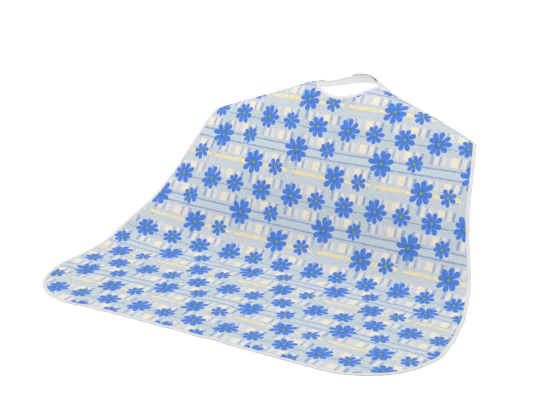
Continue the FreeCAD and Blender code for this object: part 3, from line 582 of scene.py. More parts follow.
# ------------------------------------------------------------------ shader expressions
class Net:
    def __init__(self, name):
        self.mat = bpy.data.materials.new(name)
        self.mat.use_nodes = True
        self.t = self.mat.node_tree
        self.t.nodes.clear()
        self.out = self.t.nodes.new("ShaderNodeOutputMaterial")
        self.bsdf = self.t.nodes.new("ShaderNodeBsdfPrincipled")
        self.t.links.new(self.bsdf.outputs[0], self.out.inputs["Surface"])

    def set(self, sock, value):
        if isinstance(value, Ex):
            self.t.links.new(value.s, sock)
        elif isinstance(value, (tuple, list)):
            sock.default_value = tuple(value)
        else:
            sock.default_value = value

    def math(self, op, *args, clamp=False):
        n = self.t.nodes.new("ShaderNodeMath")
        n.operation = op
        n.use_clamp = clamp
        for i, a in enumerate(args):
            self.set(n.inputs[i], a)
        return Ex(self, n.outputs[0])

    def attribute(self, name):
        n = self.t.nodes.new("ShaderNodeAttribute")
        n.attribute_name = name
        sep = self.t.nodes.new("ShaderNodeSeparateXYZ")
        self.t.links.new(n.outputs["Vector"], sep.inputs[0])
        return Ex(self, n.outputs["Vector"]), Ex(self, sep.outputs[0]), Ex(self, sep.outputs[1]), Ex(self, sep.outputs[2])

    def xyz(self, x, y, z=0.0):
        n = self.t.nodes.new("ShaderNodeCombineXYZ")
        for i, v in enumerate((x, y, z)):
            self.set(n.inputs[i], v)
        return Ex(self, n.outputs[0])

    def noise(self, vec, scale, detail=2.0, rough=0.5, out=0):
        n = self.t.nodes.new("ShaderNodeTexNoise")
        self.set(n.inputs["Vector"], vec)
        n.inputs["Scale"].default_value = scale
        n.inputs["Detail"].default_value = detail
        n.inputs["Roughness"].default_value = rough
        return Ex(self, n.outputs[out])

    def white(self, vec):
        n = self.t.nodes.new("ShaderNodeTexWhiteNoise")
        n.noise_dimensions = "3D"
        self.set(n.inputs["Vector"], vec)
        return Ex(self, n.outputs[0])

    def mix(self, f, a, b):
        n = self.t.nodes.new("ShaderNodeMix")
        n.data_type = "FLOAT"
        self.set(n.inputs[0], f)
        self.set(n.inputs[2], a)
        self.set(n.inputs[3], b)
        return Ex(self, n.outputs[0])

    def color(self, f, a, b, mode="MIX"):
        n = self.t.nodes.new("ShaderNodeMix")
        n.data_type = "RGBA"
        n.blend_type = mode
        n.clamp_factor = True
        self.set(n.inputs[0], f)
        self.set(n.inputs[6], rgb(a) if isinstance(a, (tuple, list)) else a)
        self.set(n.inputs[7], rgb(b) if isinstance(b, (tuple, list)) else b)
        return Ex(self, n.outputs[2])

    def ramp(self, x, lo, hi):
        """0 below lo, 1 above hi, smooth between."""
        n = self.t.nodes.new("ShaderNodeMapRange")
        n.interpolation_type = "SMOOTHSTEP"
        self.set(n.inputs[0], x)
        self.set(n.inputs[1], lo)
        self.set(n.inputs[2], hi)
        n.inputs[3].default_value = 0.0
        n.inputs[4].default_value = 1.0
        return Ex(self, n.outputs[0])

    def bump(self, height, strength, distance):
        n = self.t.nodes.new("ShaderNodeBump")
        n.inputs["Strength"].default_value = strength
        n.inputs["Distance"].default_value = distance
        self.set(n.inputs["Height"], height)
        return Ex(self, n.outputs[0])

    def coords(self):
        n = self.t.nodes.new("ShaderNodeTexCoord")
        return Ex(self, n.outputs["Object"])


class Ex:
    """A value in a node tree that can be combined with + - * /."""
    def __init__(self, net, sock):
        self.n, self.s = net, sock

    def __add__(self, o): return self.n.math("ADD", self, o)
    def __radd__(self, o): return self.n.math("ADD", o, self)
    def __sub__(self, o): return self.n.math("SUBTRACT", self, o)
    def __rsub__(self, o): return self.n.math("SUBTRACT", o, self)
    def __mul__(self, o): return self.n.math("MULTIPLY", self, o)
    def __rmul__(self, o): return self.n.math("MULTIPLY", o, self)
    def __truediv__(self, o): return self.n.math("DIVIDE", self, o)
    def __rtruediv__(self, o): return self.n.math("DIVIDE", o, self)
    def __neg__(self): return self.n.math("MULTIPLY", self, -1.0)
    def abs(self): return self.n.math("ABSOLUTE", self)
    def round(self): return self.n.math("ROUND", self)
    def floor(self): return self.n.math("FLOOR", self)
    def fract(self): return self.n.math("FRACT", self)
    def sin(self): return self.n.math("SINE", self)
    def cos(self): return self.n.math("COSINE", self)
    def sqrt(self): return self.n.math("SQRT", self)
    def lt(self, o): return self.n.math("LESS_THAN", self, o)
    def gt(self, o): return self.n.math("GREATER_THAN", self, o)
    def min(self, o): return self.n.math("MINIMUM", self, o)
    def max(self, o): return self.n.math("MAXIMUM", self, o)
    def pow(self, o): return self.n.math("POWER", self, o)
    def clamp(self): return self.n.math("ADD", self, 0.0, clamp=True)


def rgb(c):
    """Screen colour 0-255 to scene linear."""
    out = []
    for v in c[:3]:
        v = v / 255.0
        out.append(v / 12.92 if v <= 0.04045 else ((v + 0.055) / 1.055) ** 2.4)
    return tuple(out) + (1.0,)


# ------------------------------------------------------------------ printed cloth
FLOWERS = [  # u, v, radius, petals, turn
    (0.819, 0.595, 0.136, 9, 0.30), (0.328, 0.885, 0.130, 8, 0.75), (0.367, 0.228, 0.124, 9, 0.05),
    (0.005, 0.236, 0.116, 8, 0.55), (0.667, 0.224, 0.102, 8, 0.85), (0.175, 0.530, 0.092, 8, 0.15),
    (0.617, 0.883, 0.088, 7, 0.45)]


def printed_cloth(name="printed_cloth", show=1.0):
    """The print, full strength on the outside, showing faintly through the coating inside."""
    n = Net(name)
    vec, u, v, _ = n.attribute("cloth")
    # hand-drawn wobble of every printed edge
    wob = n.noise(vec, 26.0, 2.0, 0.6)
    wob2 = n.noise(n.xyz(v * 1.0 + 7.3, u, 0.0), 26.0, 2.0, 0.6)
    rag = n.noise(n.xyz(u * 95.0, v * 95.0 * RHO, 4.0), 1.0, 2.0, 0.6) - 0.5
    ub = u + (wob - 0.5) * 0.020 + rag * 0.013
    vb = v + (wob2 - 0.5) * 0.026 + rag * 0.016
    fu = (ub * 2.0).fract() * 0.5          # 0..0.5 across one check
    fv = vb.fract()                        # 0..1 down one check

    def stripe(x, a, b, soft=0.006):
        return n.ramp(x, a - soft, a + soft) * (1.0 - n.ramp(x, b - soft, b + soft))

    # streaky brush marks across and down
    brush_h = n.noise(n.xyz(u * 6.0, v * 90.0, 0.0), 1.0, 3.0, 0.6)
    brush_v = n.noise(n.xyz(u * 110.0, v * 7.0, 3.0), 1.0, 3.0, 0.6)

    band = (192, 205, 219)
    cyan = (186, 212, 225)
    col = n.color(brush_h, (190, 200, 214), (212, 217, 223))
    # three even rows of small blocks
    blocks = stripe(fv, 0.050, 0.170) + stripe(fv, 0.380, 0.500) + stripe(fv, 0.710, 0.830)
    warm = stripe(fu, 0.040, 0.120, 0.005)
    white = (stripe(fu, 0.160, 0.200, 0.004) + stripe(fu, 0.368, 0.408, 0.004)
             + stripe(fu, 0.450, 0.490, 0.004) * 0.8)
    pale = n.color(brush_v, (222, 217, 218), (239, 236, 233))
    dab = n.noise(n.xyz(u * 40.0, v * 40.0 * RHO, 8.0), 1.0, 3.0, 0.7)
    cream = n.color(n.ramp(dab, 0.46, 0.62), n.color(brush_v, (233, 224, 212), (246, 240, 226)), (248, 232, 190))
    col = n.color((blocks * white).clamp(), col, pale)
    col = n.color((blocks * stripe(fu, 0.004, 0.030, 0.006)).clamp(), col, (212, 216, 224))
    col = n.color((blocks * warm).clamp(), col, cream)
    bars = stripe(fu, 0.212, 0.242, 0.005) + stripe(fu, 0.326, 0.356, 0.005)
    bar_col = n.color(brush_v, (122, 150, 204), (158, 178, 214))
    keep = n.ramp(n.noise(n.xyz((u * 4.0).floor(), (v * 4.0).floor(), 5.0), 3.1, 0.0), 0.30, 0.42)
    col = n.color((blocks * bars * (keep * 0.55 + 0.45)).clamp(), col, bar_col)
    thin = stripe(fu, 0.134, 0.146, 0.003) + stripe(fu, 0.422, 0.434, 0.003)
    col = n.color((blocks * thin * n.ramp(brush_v, 0.30, 0.5)).clamp(), col, (138, 156, 190))
    # pale upright band
    col = n.color(stripe(fu, 0.254, 0.314, 0.006) * 0.75, col, n.color(brush_v, (184, 206, 216), (206, 217, 222)))
    # blue-green level band with a thin dark line
    col = n.color(stripe(fv, 0.200, 0.350, 0.010) * 0.8, col, n.color(brush_h, (176, 200, 214), (202, 213, 221)))
    line = stripe(fv, 0.268, 0.282, 0.004)
    col = n.color((line * n.ramp(brush_h, 0.28, 0.55)).clamp(), col, (122, 148, 188))
    # pair of slate lines with a pale band between
    col = n.color(stripe(fv, 0.560, 0.650, 0.006) * 0.85, col, n.color(brush_h, (190, 208, 220), (212, 219, 225)))
    pair = stripe(fv, 0.538, 0.560, 0.005) + stripe(fv, 0.650, 0.672, 0.005)
    col = n.color((pair * 0.95).clamp(), col, n.color(brush_h, (114, 144, 206), (150, 174, 218)))
    # yellow dashes
    edge = n.noise(n.xyz(u * 30.0, v * 4.0, 1.0), 1.0, 2.0, 0.7)
    fy = (vb + 0.5).fract() - 0.5
    blot = n.noise(n.xyz(u * 46.0, v * 46.0 * RHO, 6.0), 1.0, 3.0, 0.7)
    yellow = stripe(fy + (edge - 0.5) * 0.034 + (blot - 0.5) * 0.044, -0.124, -0.076, 0.006)
    yellow = yellow * n.ramp(blot + edge, 0.74, 0.86)
    gap = 1.0 - stripe(fu, 0.254, 0.314, 0.006)
    gap2 = 1.0 - stripe(fu, 0.128, 0.152, 0.005) * 0.7
    col = n.color((yellow * gap * gap2 * 0.95).clamp(), col, n.color(n.ramp(blot, 0.42, 0.60), (243, 219, 146), (248, 237, 194)))
    dash = (stripe(fy, -0.148, -0.136, 0.004) + stripe(fy, -0.064, -0.052, 0.004)) * bars
    col = n.color((dash * n.ramp(edge, 0.35, 0.5)).clamp(), col, (140, 160, 198))

    # sponge-like mottling of the whole ground
    speck = n.noise(n.xyz(u * 58.0, v * 58.0 * RHO, 2.0), 1.0, 3.0, 0.75)
    col = n.color(n.ramp(speck, 0.49, 0.62) * 0.34, col, (244, 241, 234))
    col = n.color((1.0 - n.ramp(speck, 0.37, 0.50)) * 0.26, col, (170, 190, 214))

    # daisies: pick the nearest one of the repeat, then draw its petals
    best = None
    dux = dvx = num = rot = uid = rad = None
    for k, (ou, ov, r, petals, turn) in enumerate(FLOWERS):
        j = (v - ov).round()
        dv = (v - ov) - j
        du = (u - ou) - j * 0.5
        du = du - du.round()
        dvm = dv * RHO
        q = (du * du + dvm * dvm).sqrt() / r
        cell = j * 3.17 + k * 1.31
        if best is None:
            best, dux, dvx = q, du / r, dvm / r
            num, rot, uid, rad = n.math("ADD", float(petals), 0.0), n.math("ADD", turn, 0.0), n.math("ADD", float(k), 0.0), n.math("ADD", r, 0.0)
        else:
            s = q.lt(best)
            best = best.min(q)
            dux, dvx = n.mix(s, dux, du / r), n.mix(s, dvx, dvm / r)
            num, rot = n.mix(s, num, float(petals)), n.mix(s, rot, turn)
            uid, rad = n.mix(s, uid, float(k)), n.mix(s, rad, r)
    theta = n.math("ARCTAN2", dvx, dux) + rot
    turns = theta * num / (2.0 * math.pi)
    k_id = turns.round()
    wrap = k_id - (k_id / num).floor() * num
    h1 = n.white(n.xyz(wrap + 0.5, uid + 0.5, 0.5))
    h2 = n.white(n.xyz(wrap + 0.5, uid + 0.5, 3.5))
    loc = (turns - k_id) * (2.0 * math.pi) / num + (h2 - 0.5) * 0.14
    along = best * loc.cos()
    across = (best * loc.sin()).abs()
    rough = (n.noise(n.xyz(u, v, 0.0), 95.0, 2.0, 0.6) - 0.5)
    reach = h1 * 0.20 + 0.93
    # petal outline: narrow at the heart, broad shoulder, plain round tip
    notch = ((across * 44.0 + h1 * 6.0).cos() * 0.5 + 0.5) * 0.03 + rough * 0.06
    tt = along / (reach * (1.0 - notch))
    body = (tt * 1.40).min(1.0).max(0.0).pow(0.74)
    tip = (1.0 - tt.max(0.0).pow(7.0)).max(0.0).pow(0.55)
    wide = body * tip * (1.76 / num + 0.020 + h2 * 0.025)
    petal = n.ramp(wide - across + rough * 0.060, -0.006, 0.012)
    heart = 1.0 - n.ramp(best + rough * 0.07, 0.20, 0.27)
    petal = petal.max(heart) * (1.0 - n.ramp(best, 1.13, 1.17))
    streak = n.noise(n.xyz(across * 34.0 + wrap * 3.0, tt * 2.2, uid), 1.0, 2.0, 0.6)
    blue = n.color(streak, (54, 112, 211), (99, 147, 230))
    # darker toward the seams between petals and the heart
    blue = n.color(n.ramp(across / wide.max(0.02), 0.72, 1.05) * 0.40, blue, (50, 100, 198))
    blue = n.color((1.0 - n.ramp(best, 0.16, 0.46)) * 0.55, blue, (58, 106, 200))
    # the petals in blue
    col = n.color(petal, col, blue)
    dots = n.noise(n.xyz(u, v, 9.0), 210.0, 1.0, 0.6)
    eye = 1.0 - n.ramp(best * rad + rough * 0.004, 0.0165, 0.0215)
    col = n.color(eye, col, n.color(n.ramp(dots, 0.42, 0.6), (104, 140, 76), (164, 184, 92)))

    # plain weave: threads about 0.4 mm apart, seen close up
    au, av = u * PU, v * (PU * RHO)
    weave = (au * (2.0 * math.pi / 0.85)).sin() * (av * (2.0 * math.pi / 0.85)).sin()
    slub = n.noise(n.xyz(au * 0.06, av * 2.4, 0.0), 1.0, 2.0, 0.5) + n.noise(n.xyz(au * 2.4, av * 0.06, 4.0), 1.0, 2.0, 0.5)
    col = n.color((weave * 0.5 + 0.5) * 0.10, col, n.color(1.0, col, (150, 160, 178), "MULTIPLY"))
    crease = n.noise(n.xyz(au * 0.045, av * 0.06, 0.0), 1.0, 3.0, 0.55)
    if show < 1.0:
        col = n.color(show, n.color(crease, (229, 232, 237), (241, 243, 246)), col)
    height = weave * 0.05 * show + slub * 0.06 + crease * 0.9
    if show >= 1.0:
        col = n.color(1.0, col, (255, 254, 250), "MULTIPLY")
    n.set(n.bsdf.inputs["Base Color"], col)
    rough = (0.72, 0.84) if show >= 1.0 else (0.36, 0.48)
    n.set(n.bsdf.inputs["Roughness"], n.mix(crease, *rough))
    n.set(n.bsdf.inputs["Specular IOR Level"], 0.16 if show >= 1.0 else 0.42)
    n.set(n.bsdf.inputs["Sheen Weight"], 0.04 if show >= 1.0 else 0.0)
    n.set(n.bsdf.inputs["Sheen Roughness"], 0.5)
    n.set(n.bsdf.inputs["Normal"], n.bump(height, 0.35, 0.0008))
    return n.mat


def woven(name, light, dark, pitch, rough=0.7, sheen=0.25, attr=None, bump=0.4, twill=False, edge_shade_and_soil=None):
    """Plain woven or twill tape with small colour variation; edge_shade_and_soil is the colour of the painted shade
    along the tape's rolled outer edge and of faint random soil patches.
    """
    n = Net(name)
    rim = 1.0
    if attr:
        vec, a, b, rim = n.attribute(attr)
    else:
        vec = n.coords()
        sep = n.t.nodes.new("ShaderNodeSeparateXYZ")
        n.t.links.new(vec.s, sep.inputs[0])
        a, b = Ex(n, sep.outputs[0]), Ex(n, sep.outputs[1])
    am, bm_ = a * 1000.0, b * 1000.0
    if twill:
        w = ((am + bm_) * (2 * math.pi / pitch)).sin()
    else:
        w = (am * (2 * math.pi / pitch)).sin() * (bm_ * (2 * math.pi / pitch)).sin()
    cloud = n.noise(n.coords(), 38.0, 3.0, 0.6)
    fine = n.noise(n.coords(), 900.0, 2.0, 0.6)
    col = n.color(cloud * 0.7 + fine * 0.3, dark, light)
    col = n.color((w * 0.5 + 0.5) * 0.16, col, n.color(1.0, col, (170, 172, 180), "MULTIPLY"))
    if edge_shade_and_soil:
        # painted shade: the folded outer edge of the tape is darkened toward this colour, standing in for the thin
        # shadow line along it
        edge = (1.0 - n.ramp(rim, -0.02, 0.07)) * (n.noise(n.coords(), 60.0, 2.0, 0.5) * 0.5 + 0.6)
        col = n.color(edge.clamp(), col, edge_shade_and_soil)
        # faint random soil patches in the same colour
        col = n.color(n.ramp(n.noise(n.coords(), 14.0, 3.0, 0.6), 0.58, 0.85) * 0.18, col, edge_shade_and_soil)
    n.set(n.bsdf.inputs["Base Color"], col)
    n.set(n.bsdf.inputs["Roughness"], n.mix(fine, rough - 0.08, rough + 0.08))
    n.set(n.bsdf.inputs["Sheen Weight"], sheen)
    n.set(n.bsdf.inputs["Specular IOR Level"], 0.3)
    n.set(n.bsdf.inputs["Normal"], n.bump(w * 0.5 + fine * 0.5, bump, 0.0004))
    return n.mat


MAT_PRINT = printed_cloth()
MAT_BACK = printed_cloth("waterproof_backing", 0.13)
MAT_TAPE = woven("binding_tape", (246, 243, 242), (230, 227, 229), 0.9, rough=0.72, sheen=0.3, attr="tape", bump=0.45, twill=True, edge_shade_and_soil=(176, 166, 164))
MAT_STRAP = woven("strap_cloth", (244, 241, 238), (229, 226, 225), 1.0, rough=0.78, sheen=0.3, attr="tape", bump=0.5)
MAT_THREAD = woven("thread", (250, 250, 250), (222, 222, 226), 0.5, rough=0.6, sheen=0.3, bump=0.5)


def give(ob, mat):
    ob.data.materials.clear()
    ob.data.materials.append(mat)


# ------------------------------------------------------------------ cloth pieces
face = sheet_piece("cape_printed_cloth", GRID, 0.92, 1.18)
give(face, MAT_PRINT)
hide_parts("bib_printed_cloth", "lap_printed_cloth")

back = sheet_piece("cape_waterproof_backing", GRID, 0.58, 0.82)
give(back, MAT_BACK)
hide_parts("bib_waterproof_backing", "lap_waterproof_backing")

# one folded tape round the whole outer edge, from one shoulder seam to the other
right = np.vstack([SIDE, SHOULDER[1:]])
left = (right * [-1, 1])[::-1]
outer_path = densify(np.vstack([left, right]), 3.2)
outer_path = smooth_line(outer_path, 4)
binding = tape_piece("outer_binding", outer_path, seed=4)
give(binding, MAT_TAPE)
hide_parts("side_binding_left", "side_binding_right", "hem_binding")

neck_right = NECK
neck_path = densify(np.vstack([neck_right, (neck_right * [-1, 1])[::-1][1:]]), 2.4)
neck = tape_piece("neckline_tape", neck_path, thick=2.2, mid=0.9, seed=9)
give(neck, MAT_TAPE)
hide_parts("neckline_binding")

st_outer = stitch_piece("outer_stitches", outer_path + inward(outer_path) * (BIND - 2.0), 1.98, both=-0.18, seed=5)
give(st_outer, MAT_THREAD)
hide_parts("side_stitching_left", "side_stitching_right", "hem_stitching")
st_neck = stitch_piece("neckline_stitches", neck_path + inward(neck_path) * (BIND - 2.0), 2.2, both=-0.40, seed=6)
give(st_neck, MAT_THREAD)
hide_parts("neckline_stitching")

# pieces that cross the lap fold are baked in place as they lie
B0, B1 = (0.0, 0.3305, 0.001), (0.0, 0.2785, 0.001)
for ob in (face, back, binding, st_outer):
    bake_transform(ob)
    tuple(B0)
    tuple(B1)
for ob in (neck, st_neck):
    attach(ob, "bib")

# ------------------------------------------------------------------ neck straps
ROOT_W, STRAP_W, STRAP_T = 46.0, 40.0, 1.6
N_RAIL = 61


def unit(v):
    return v / np.linalg.norm(v)


def root_point(x):
    w = RISE - FALL * x + 2.5 * SEC
    a = base_point(np.array([x]), np.array([w + 3.0]))[0] - base_point(np.array([x]), np.array([w - 3.0]))[0]
    return base_point(np.array([x]), np.array([w]))[0], unit(a)


def hermite(p0, t0, p1, t1, u):
    return (p0 * (2 * u ** 3 - 3 * u ** 2 + 1) + t0 * (u ** 3 - 2 * u ** 2 + u)
            + p1 * (-2 * u ** 3 + 3 * u ** 2) + t1 * (u ** 3 - u ** 2))


PA, TA = root_point(NECK_A + 1.0)
PB, TB = root_point(NECK_A + 1.0 + ROOT_W / SEC)
PC, PD = np.array([0.0, 692.0, 367.0]), np.array([0.0, 722.0, 340.5])
TA, TB = unit(TA + np.array([-0.42, 0.0, -0.10])), unit(TB + np.array([-0.22, 0.0, -0.70]))
us = [k / (N_RAIL - 1.0) for k in range(N_RAIL)]
rail_in = np.array([hermite(PA, TA * 80.0, PC, np.array([-95.0, 0, 0]), u) for u in us])
rail_out = np.array([hermite(PB, TB * 140.0, PD, np.array([-150.0, 0, 0]), u) for u in us])
loop_in = np.vstack([rail_in, (rail_in * [-1, 1, 1])[::-1][1:]])
loop_out = np.vstack([rail_out, (rail_out * [-1, 1, 1])[::-1][1:]])
ctr = (loop_in + loop_out) / 2.0
arc_at = np.concatenate([[0.0], np.cumsum(np.linalg.norm(np.diff(ctr, axis=0), axis=1))])
HALFWAY, TOTAL = arc_at[N_RAIL - 1], arc_at[-1]
LEN = HALFWAY + 38.0


def on_loop(rail, dist):
    return np.stack([np.interp(dist, arc_at, rail[:, k]) for k in range(3)], -1)


def strap_frame(dist, across):
    a, b = on_loop(loop_in, dist), on_loop(loop_out, dist)
    hi, lo = np.minimum(TOTAL, dist + 2.0), np.maximum(0.0, dist - 2.0)
    tan = on_loop(loop_in, hi) + on_loop(loop_out, hi) - on_loop(loop_in, lo) - on_loop(loop_out, lo)
    n = np.cross(b - a, tan)
    n = n / np.linalg.norm(n, axis=-1, keepdims=True)
    n = n * np.where(n[..., 2:] < 0, -1.0, 1.0)
    return a + (b - a) * across[..., None], n


def press(dist, across):
    """How far the band's edges close up beside the tapes, 0..1."""
    rim = np.minimum(across, 1.0 - across) * STRAP_W
    return (1.0 - smooth((rim - 1.0) / 6.5)) * (1.0 - smooth((np.abs(dist - HALFWAY) - 30.0) / 14.0))


def over_map(dist, across, lift):
    """Left strap, which passes on the outside; the first millimetres are sewn under the shoulder tape."""
    d = np.maximum(dist, 0.0)
    p, n = strap_frame(d, across)
    full = STRAP_T + 2.0 * 1.35 + 3.0 * 0.15
    p = p + n * (lift + full * smooth((d - 20.0) / (HALFWAY - 72.0)) - 1.05 * press(d, across))[..., None]
    # sewn end: follows the cloth on its inner side
    x = (NECK_A + 1.0 + ROOT_W / SEC * across)
    w = RISE - FALL * x + 2.5 * SEC + np.minimum(dist, 0.0)
    q = rest_point(x, w) + rest_normal(x, w) * (lift * 0.55 - 1.15)[..., None]
    k = smooth((dist + 2.0) / 12.0)[..., None]
    return (q * (1.0 - k) + p * k) / 1000.0


def under_map(dist, across, lift):
    d = np.maximum(dist, 0.0)
    p, n = strap_frame(TOTAL - d, across)
    p = p + n * (lift + 1.05 * press(d, across))[..., None]
    x = -(NECK_A + 1.0 + ROOT_W / SEC * across)
    w = RISE - FALL * np.abs(x) + 2.5 * SEC + np.minimum(dist, 0.0)
    q = rest_point(x, w) + rest_normal(x, w) * (lift * 0.55 - 1.15)[..., None]
    k = smooth((dist + 2.0) / 12.0)[..., None]
    return (q * (1.0 - k) + p * k) / 1000.0


def strap_piece(name, mapping, seed):
    """Folded and edge-stitched band with rounded free corners."""
    r = np.random.default_rng(seed)
    nd, na = 96, 27
    dist = np.concatenate([np.linspace(-9.0, LEN - 9.0, nd - 12, endpoint=False), LEN - 9.0 * (1 - np.sin(np.linspace(0, math.pi / 2, 12)))])
    frac = 0.5 - 0.5 * np.cos(np.linspace(0.0, math.pi, na))
    top, bot, tape_t, tape_b = [], [], [], []
    ph = r.uniform(0, 6.28, 3)
    for d in dist:
        e = max(0.0, (d - (LEN - 9.0)) / 9.0)
        pull = 9.0 * (1.0 - math.sqrt(max(0.0, 1.0 - e * e))) / STRAP_W
        a = pull + (1.0 - 2.0 * pull) * frac
        edge = np.minimum(frac, 1.0 - frac) * STRAP_W
        end = np.minimum(edge, LEN - d)
        half = STRAP_T / 2.0 * np.sqrt(np.clip(1.0 - np.clip(1.0 - end / 0.8, 0, 1) ** 2, 0.02, 1.0))
        seam = 0.22 * np.exp(-((end - 3.0) / 0.9) ** 2)
        puff = 0.12 * np.sin(d / 2.6 + ph[0] + edge * 0.2) * np.exp(-((end - 1.8) / 2.2) ** 2)
        soft = 0.10 * np.sin(d / 17.0 + ph[1]) * np.sin(edge / 9.0 + ph[2])
        h = half - seam * (half > 0.5) + puff * (half > 0.5)
        top.append(mapping(np.full(na, d), a, STRAP_T / 2.0 + h + soft))
        bot.append(mapping(np.full(na, d), a, STRAP_T / 2.0 - h + soft))
        tape_t.append(np.stack([np.full(na, d / 1000.0), a * STRAP_W / 1000.0, frac], -1))
        tape_b.append(np.stack([np.full(na, d / 1000.0), a * STRAP_W / 1000.0 + 0.05, frac], -1))
    T, B = np.array(top), np.array(bot)
    n = nd * na
    verts = np.vstack([T.reshape(-1, 3), B.reshape(-1, 3)])
    att = np.vstack([np.array(tape_t).reshape(-1, 3), np.array(tape_b).reshape(-1, 3)])
    faces = grid_faces(nd, na) + grid_faces(nd, na, n, True)
    ring = [i * na for i in range(nd)] + [(nd - 1) * na + j for j in range(1, na)] \
        + [i * na + na - 1 for i in range(nd - 2, -1, -1)] + [j for j in range(na - 2, 0, -1)]
    for a, b in zip(ring, ring[1:] + ring[:1]):
        faces.append((b, a, a + n, b + n))
    ob = mesh_object(name, verts, faces, {"tape": att})
    fix_normals(ob)
    return ob


def wrap_map(mapping):
    """Strap places given in mm along and mm across."""
    def go(a, b, lift):
        a, b = np.asarray(a, float), np.asarray(b, float)
        return mapping(a, b / STRAP_W, np.asarray(lift, float) + np.zeros_like(a))
    return go


def rect_path(d0, d1, c0, c1, r=1.5, closed=True):
    pts = []
    for cx, cy, a0 in ((d1 - r, c0 + r, -90), (d1 - r, c1 - r, 0), (d0 + r, c1 - r, 90), (d0 + r, c0 + r, 180)):
        for k in range(5):
            a = math.radians(a0 + 22.5 * k)
            pts.append((cx + r * math.cos(a), cy + r * math.sin(a)))
    pts.append(pts[0])
    return densify(pts, 0.8)


def hairpin(d0, d1, c0, c1, r=6.0):
    pts = [(d0, c0), (d1 - r, c0)]
    pts += [(d1 - r + r * math.sin(a), c0 + r - r * math.cos(a)) for a in np.linspace(0.2, 1.57, 6)]
    pts += [(d1 - r + r * math.cos(a), c1 - r + r * math.sin(a)) for a in np.linspace(0.0, 1.57, 6)]
    pts += [(d0, c1)]
    return densify(pts, 0.8)


def tape_patch(name, mapping, low, high, seed):
    """Woven tape patch with slightly thick woven edges and cut ends."""
    d0, d1 = HALFWAY - 28.0, HALFWAY + 28.0
    c0, c1 = STRAP_W / 2.0 - 12.5, STRAP_W / 2.0 + 12.5
    nd, na = 57, 27
    D, A = np.meshgrid(np.linspace(d0, d1, nd), np.linspace(c0, c1, na), indexing="ij")
    e = np.minimum(np.minimum(A - c0, c1 - A), np.minimum(D - d0, d1 - D))
    mid, half = (low + high) / 2.0, (high - low) / 2.0
    h = half * (0.55 + 0.45 * np.sqrt(np.clip(1 - np.clip(1 - e / 0.6, 0, 1) ** 2, 0, 1))) - 0.10 * np.exp(-((e - 2.0) / 0.6) ** 2)
    go = wrap_map(mapping)
    T, B = go(D.ravel(), A.ravel(), (mid + h).ravel()), go(D.ravel(), A.ravel(), (mid - h).ravel())
    n = nd * na
    faces = grid_faces(nd, na) + grid_faces(nd, na, n, True)
    ring = [i * na for i in range(nd)] + [(nd - 1) * na + j for j in range(1, na)] \
        + [i * na + na - 1 for i in range(nd - 2, -1, -1)] + [j for j in range(na - 2, 0, -1)]
    for a, b in zip(ring, ring[1:] + ring[:1]):
        faces.append((b, a, a + n, b + n))
    att = np.stack([D.ravel() / 1000.0, A.ravel() / 1000.0, np.zeros(n)], -1)
    ob = mesh_object(name, np.vstack([T, B]), faces, {"tape": np.vstack([att, att])})
    fix_normals(ob)
    return ob


def hooks(name, mapping, base, tip, seed=2):
    """Rows of tiny bent nylon hooks."""
    r = np.random.default_rng(seed)
    d = np.arange(HALFWAY - 25.0, HALFWAY + 25.1, 1.55)
    c = np.arange(STRAP_W / 2.0 - 9.9, STRAP_W / 2.0 + 9.95, 1.8)
    D, C = np.meshgrid(d, c, indexing="ij")
    D = D + (np.arange(len(c)) % 2) * 0.75 + r.normal(0, 0.04, D.shape)
    C = C + r.normal(0, 0.04, C.shape)
    D, C = D.ravel(), C.ravel()
    go = wrap_map(mapping)
    run = [(0.0, 0.0), (0.02, 0.45), (0.10, 0.85), (0.32, 1.0), (0.52, 0.78)]
    verts = np.zeros((len(D), len(run), 4, 3))
    for j, (ox, up) in enumerate(run):
        rad = 0.13 if j < 4 else 0.07
        for k in range(4):
            a = math.pi / 4 + math.pi / 2 * k
            oz = math.sin(a) * rad * (0.0 if j < 2 else 0.6)
            verts[:, j, k] = go(D + ox + math.cos(a) * rad, C + math.sin(a) * rad * (1.0 if j < 2 else 0.8),
                                base + (tip - base) * up + oz * (1 if tip > base else -1))
    faces = []
    per = len(run) * 4
    for i in range(len(D)):
        o = i * per
        for j in range(len(run) - 1):
            for k in range(4):
                faces.append((o + j * 4 + k, o + j * 4 + (k + 1) % 4, o + (j + 1) * 4 + (k + 1) % 4, o + (j + 1) * 4 + k))
        faces.append(tuple(o + k for k in range(4))[::-1])
        faces.append(tuple(o + (len(run) - 1) * 4 + k for k in range(4)))
    ob = mesh_object(name, verts.reshape(-1, 3), faces)
    fix_normals(ob)
    return ob


def join(name, *obs):
    bpy.ops.object.select_all(action="DESELECT")
    for o in obs:
        o.select_set(True)
    bpy.context.view_layer.objects.active = obs[0]
    bpy.ops.object.join()
    obs[0].name = name
    obs[0].data.name = name
    return obs[0]


MAT_HOOK = woven("hook_tape", (236, 235, 230), (216, 215, 208), 0.8, rough=0.5, sheen=0.0, attr="tape", bump=0.5)
MAT_LOOP = woven("loop_tape", (242, 240, 235), (214, 211, 205), 0.6, rough=0.95, sheen=0.8, attr="tape", bump=1.0)
MAT_LABEL = woven("label_ribbon", (250, 250, 250), (238, 238, 240), 0.6, rough=0.38, sheen=0.2, attr="tape", bump=0.3)

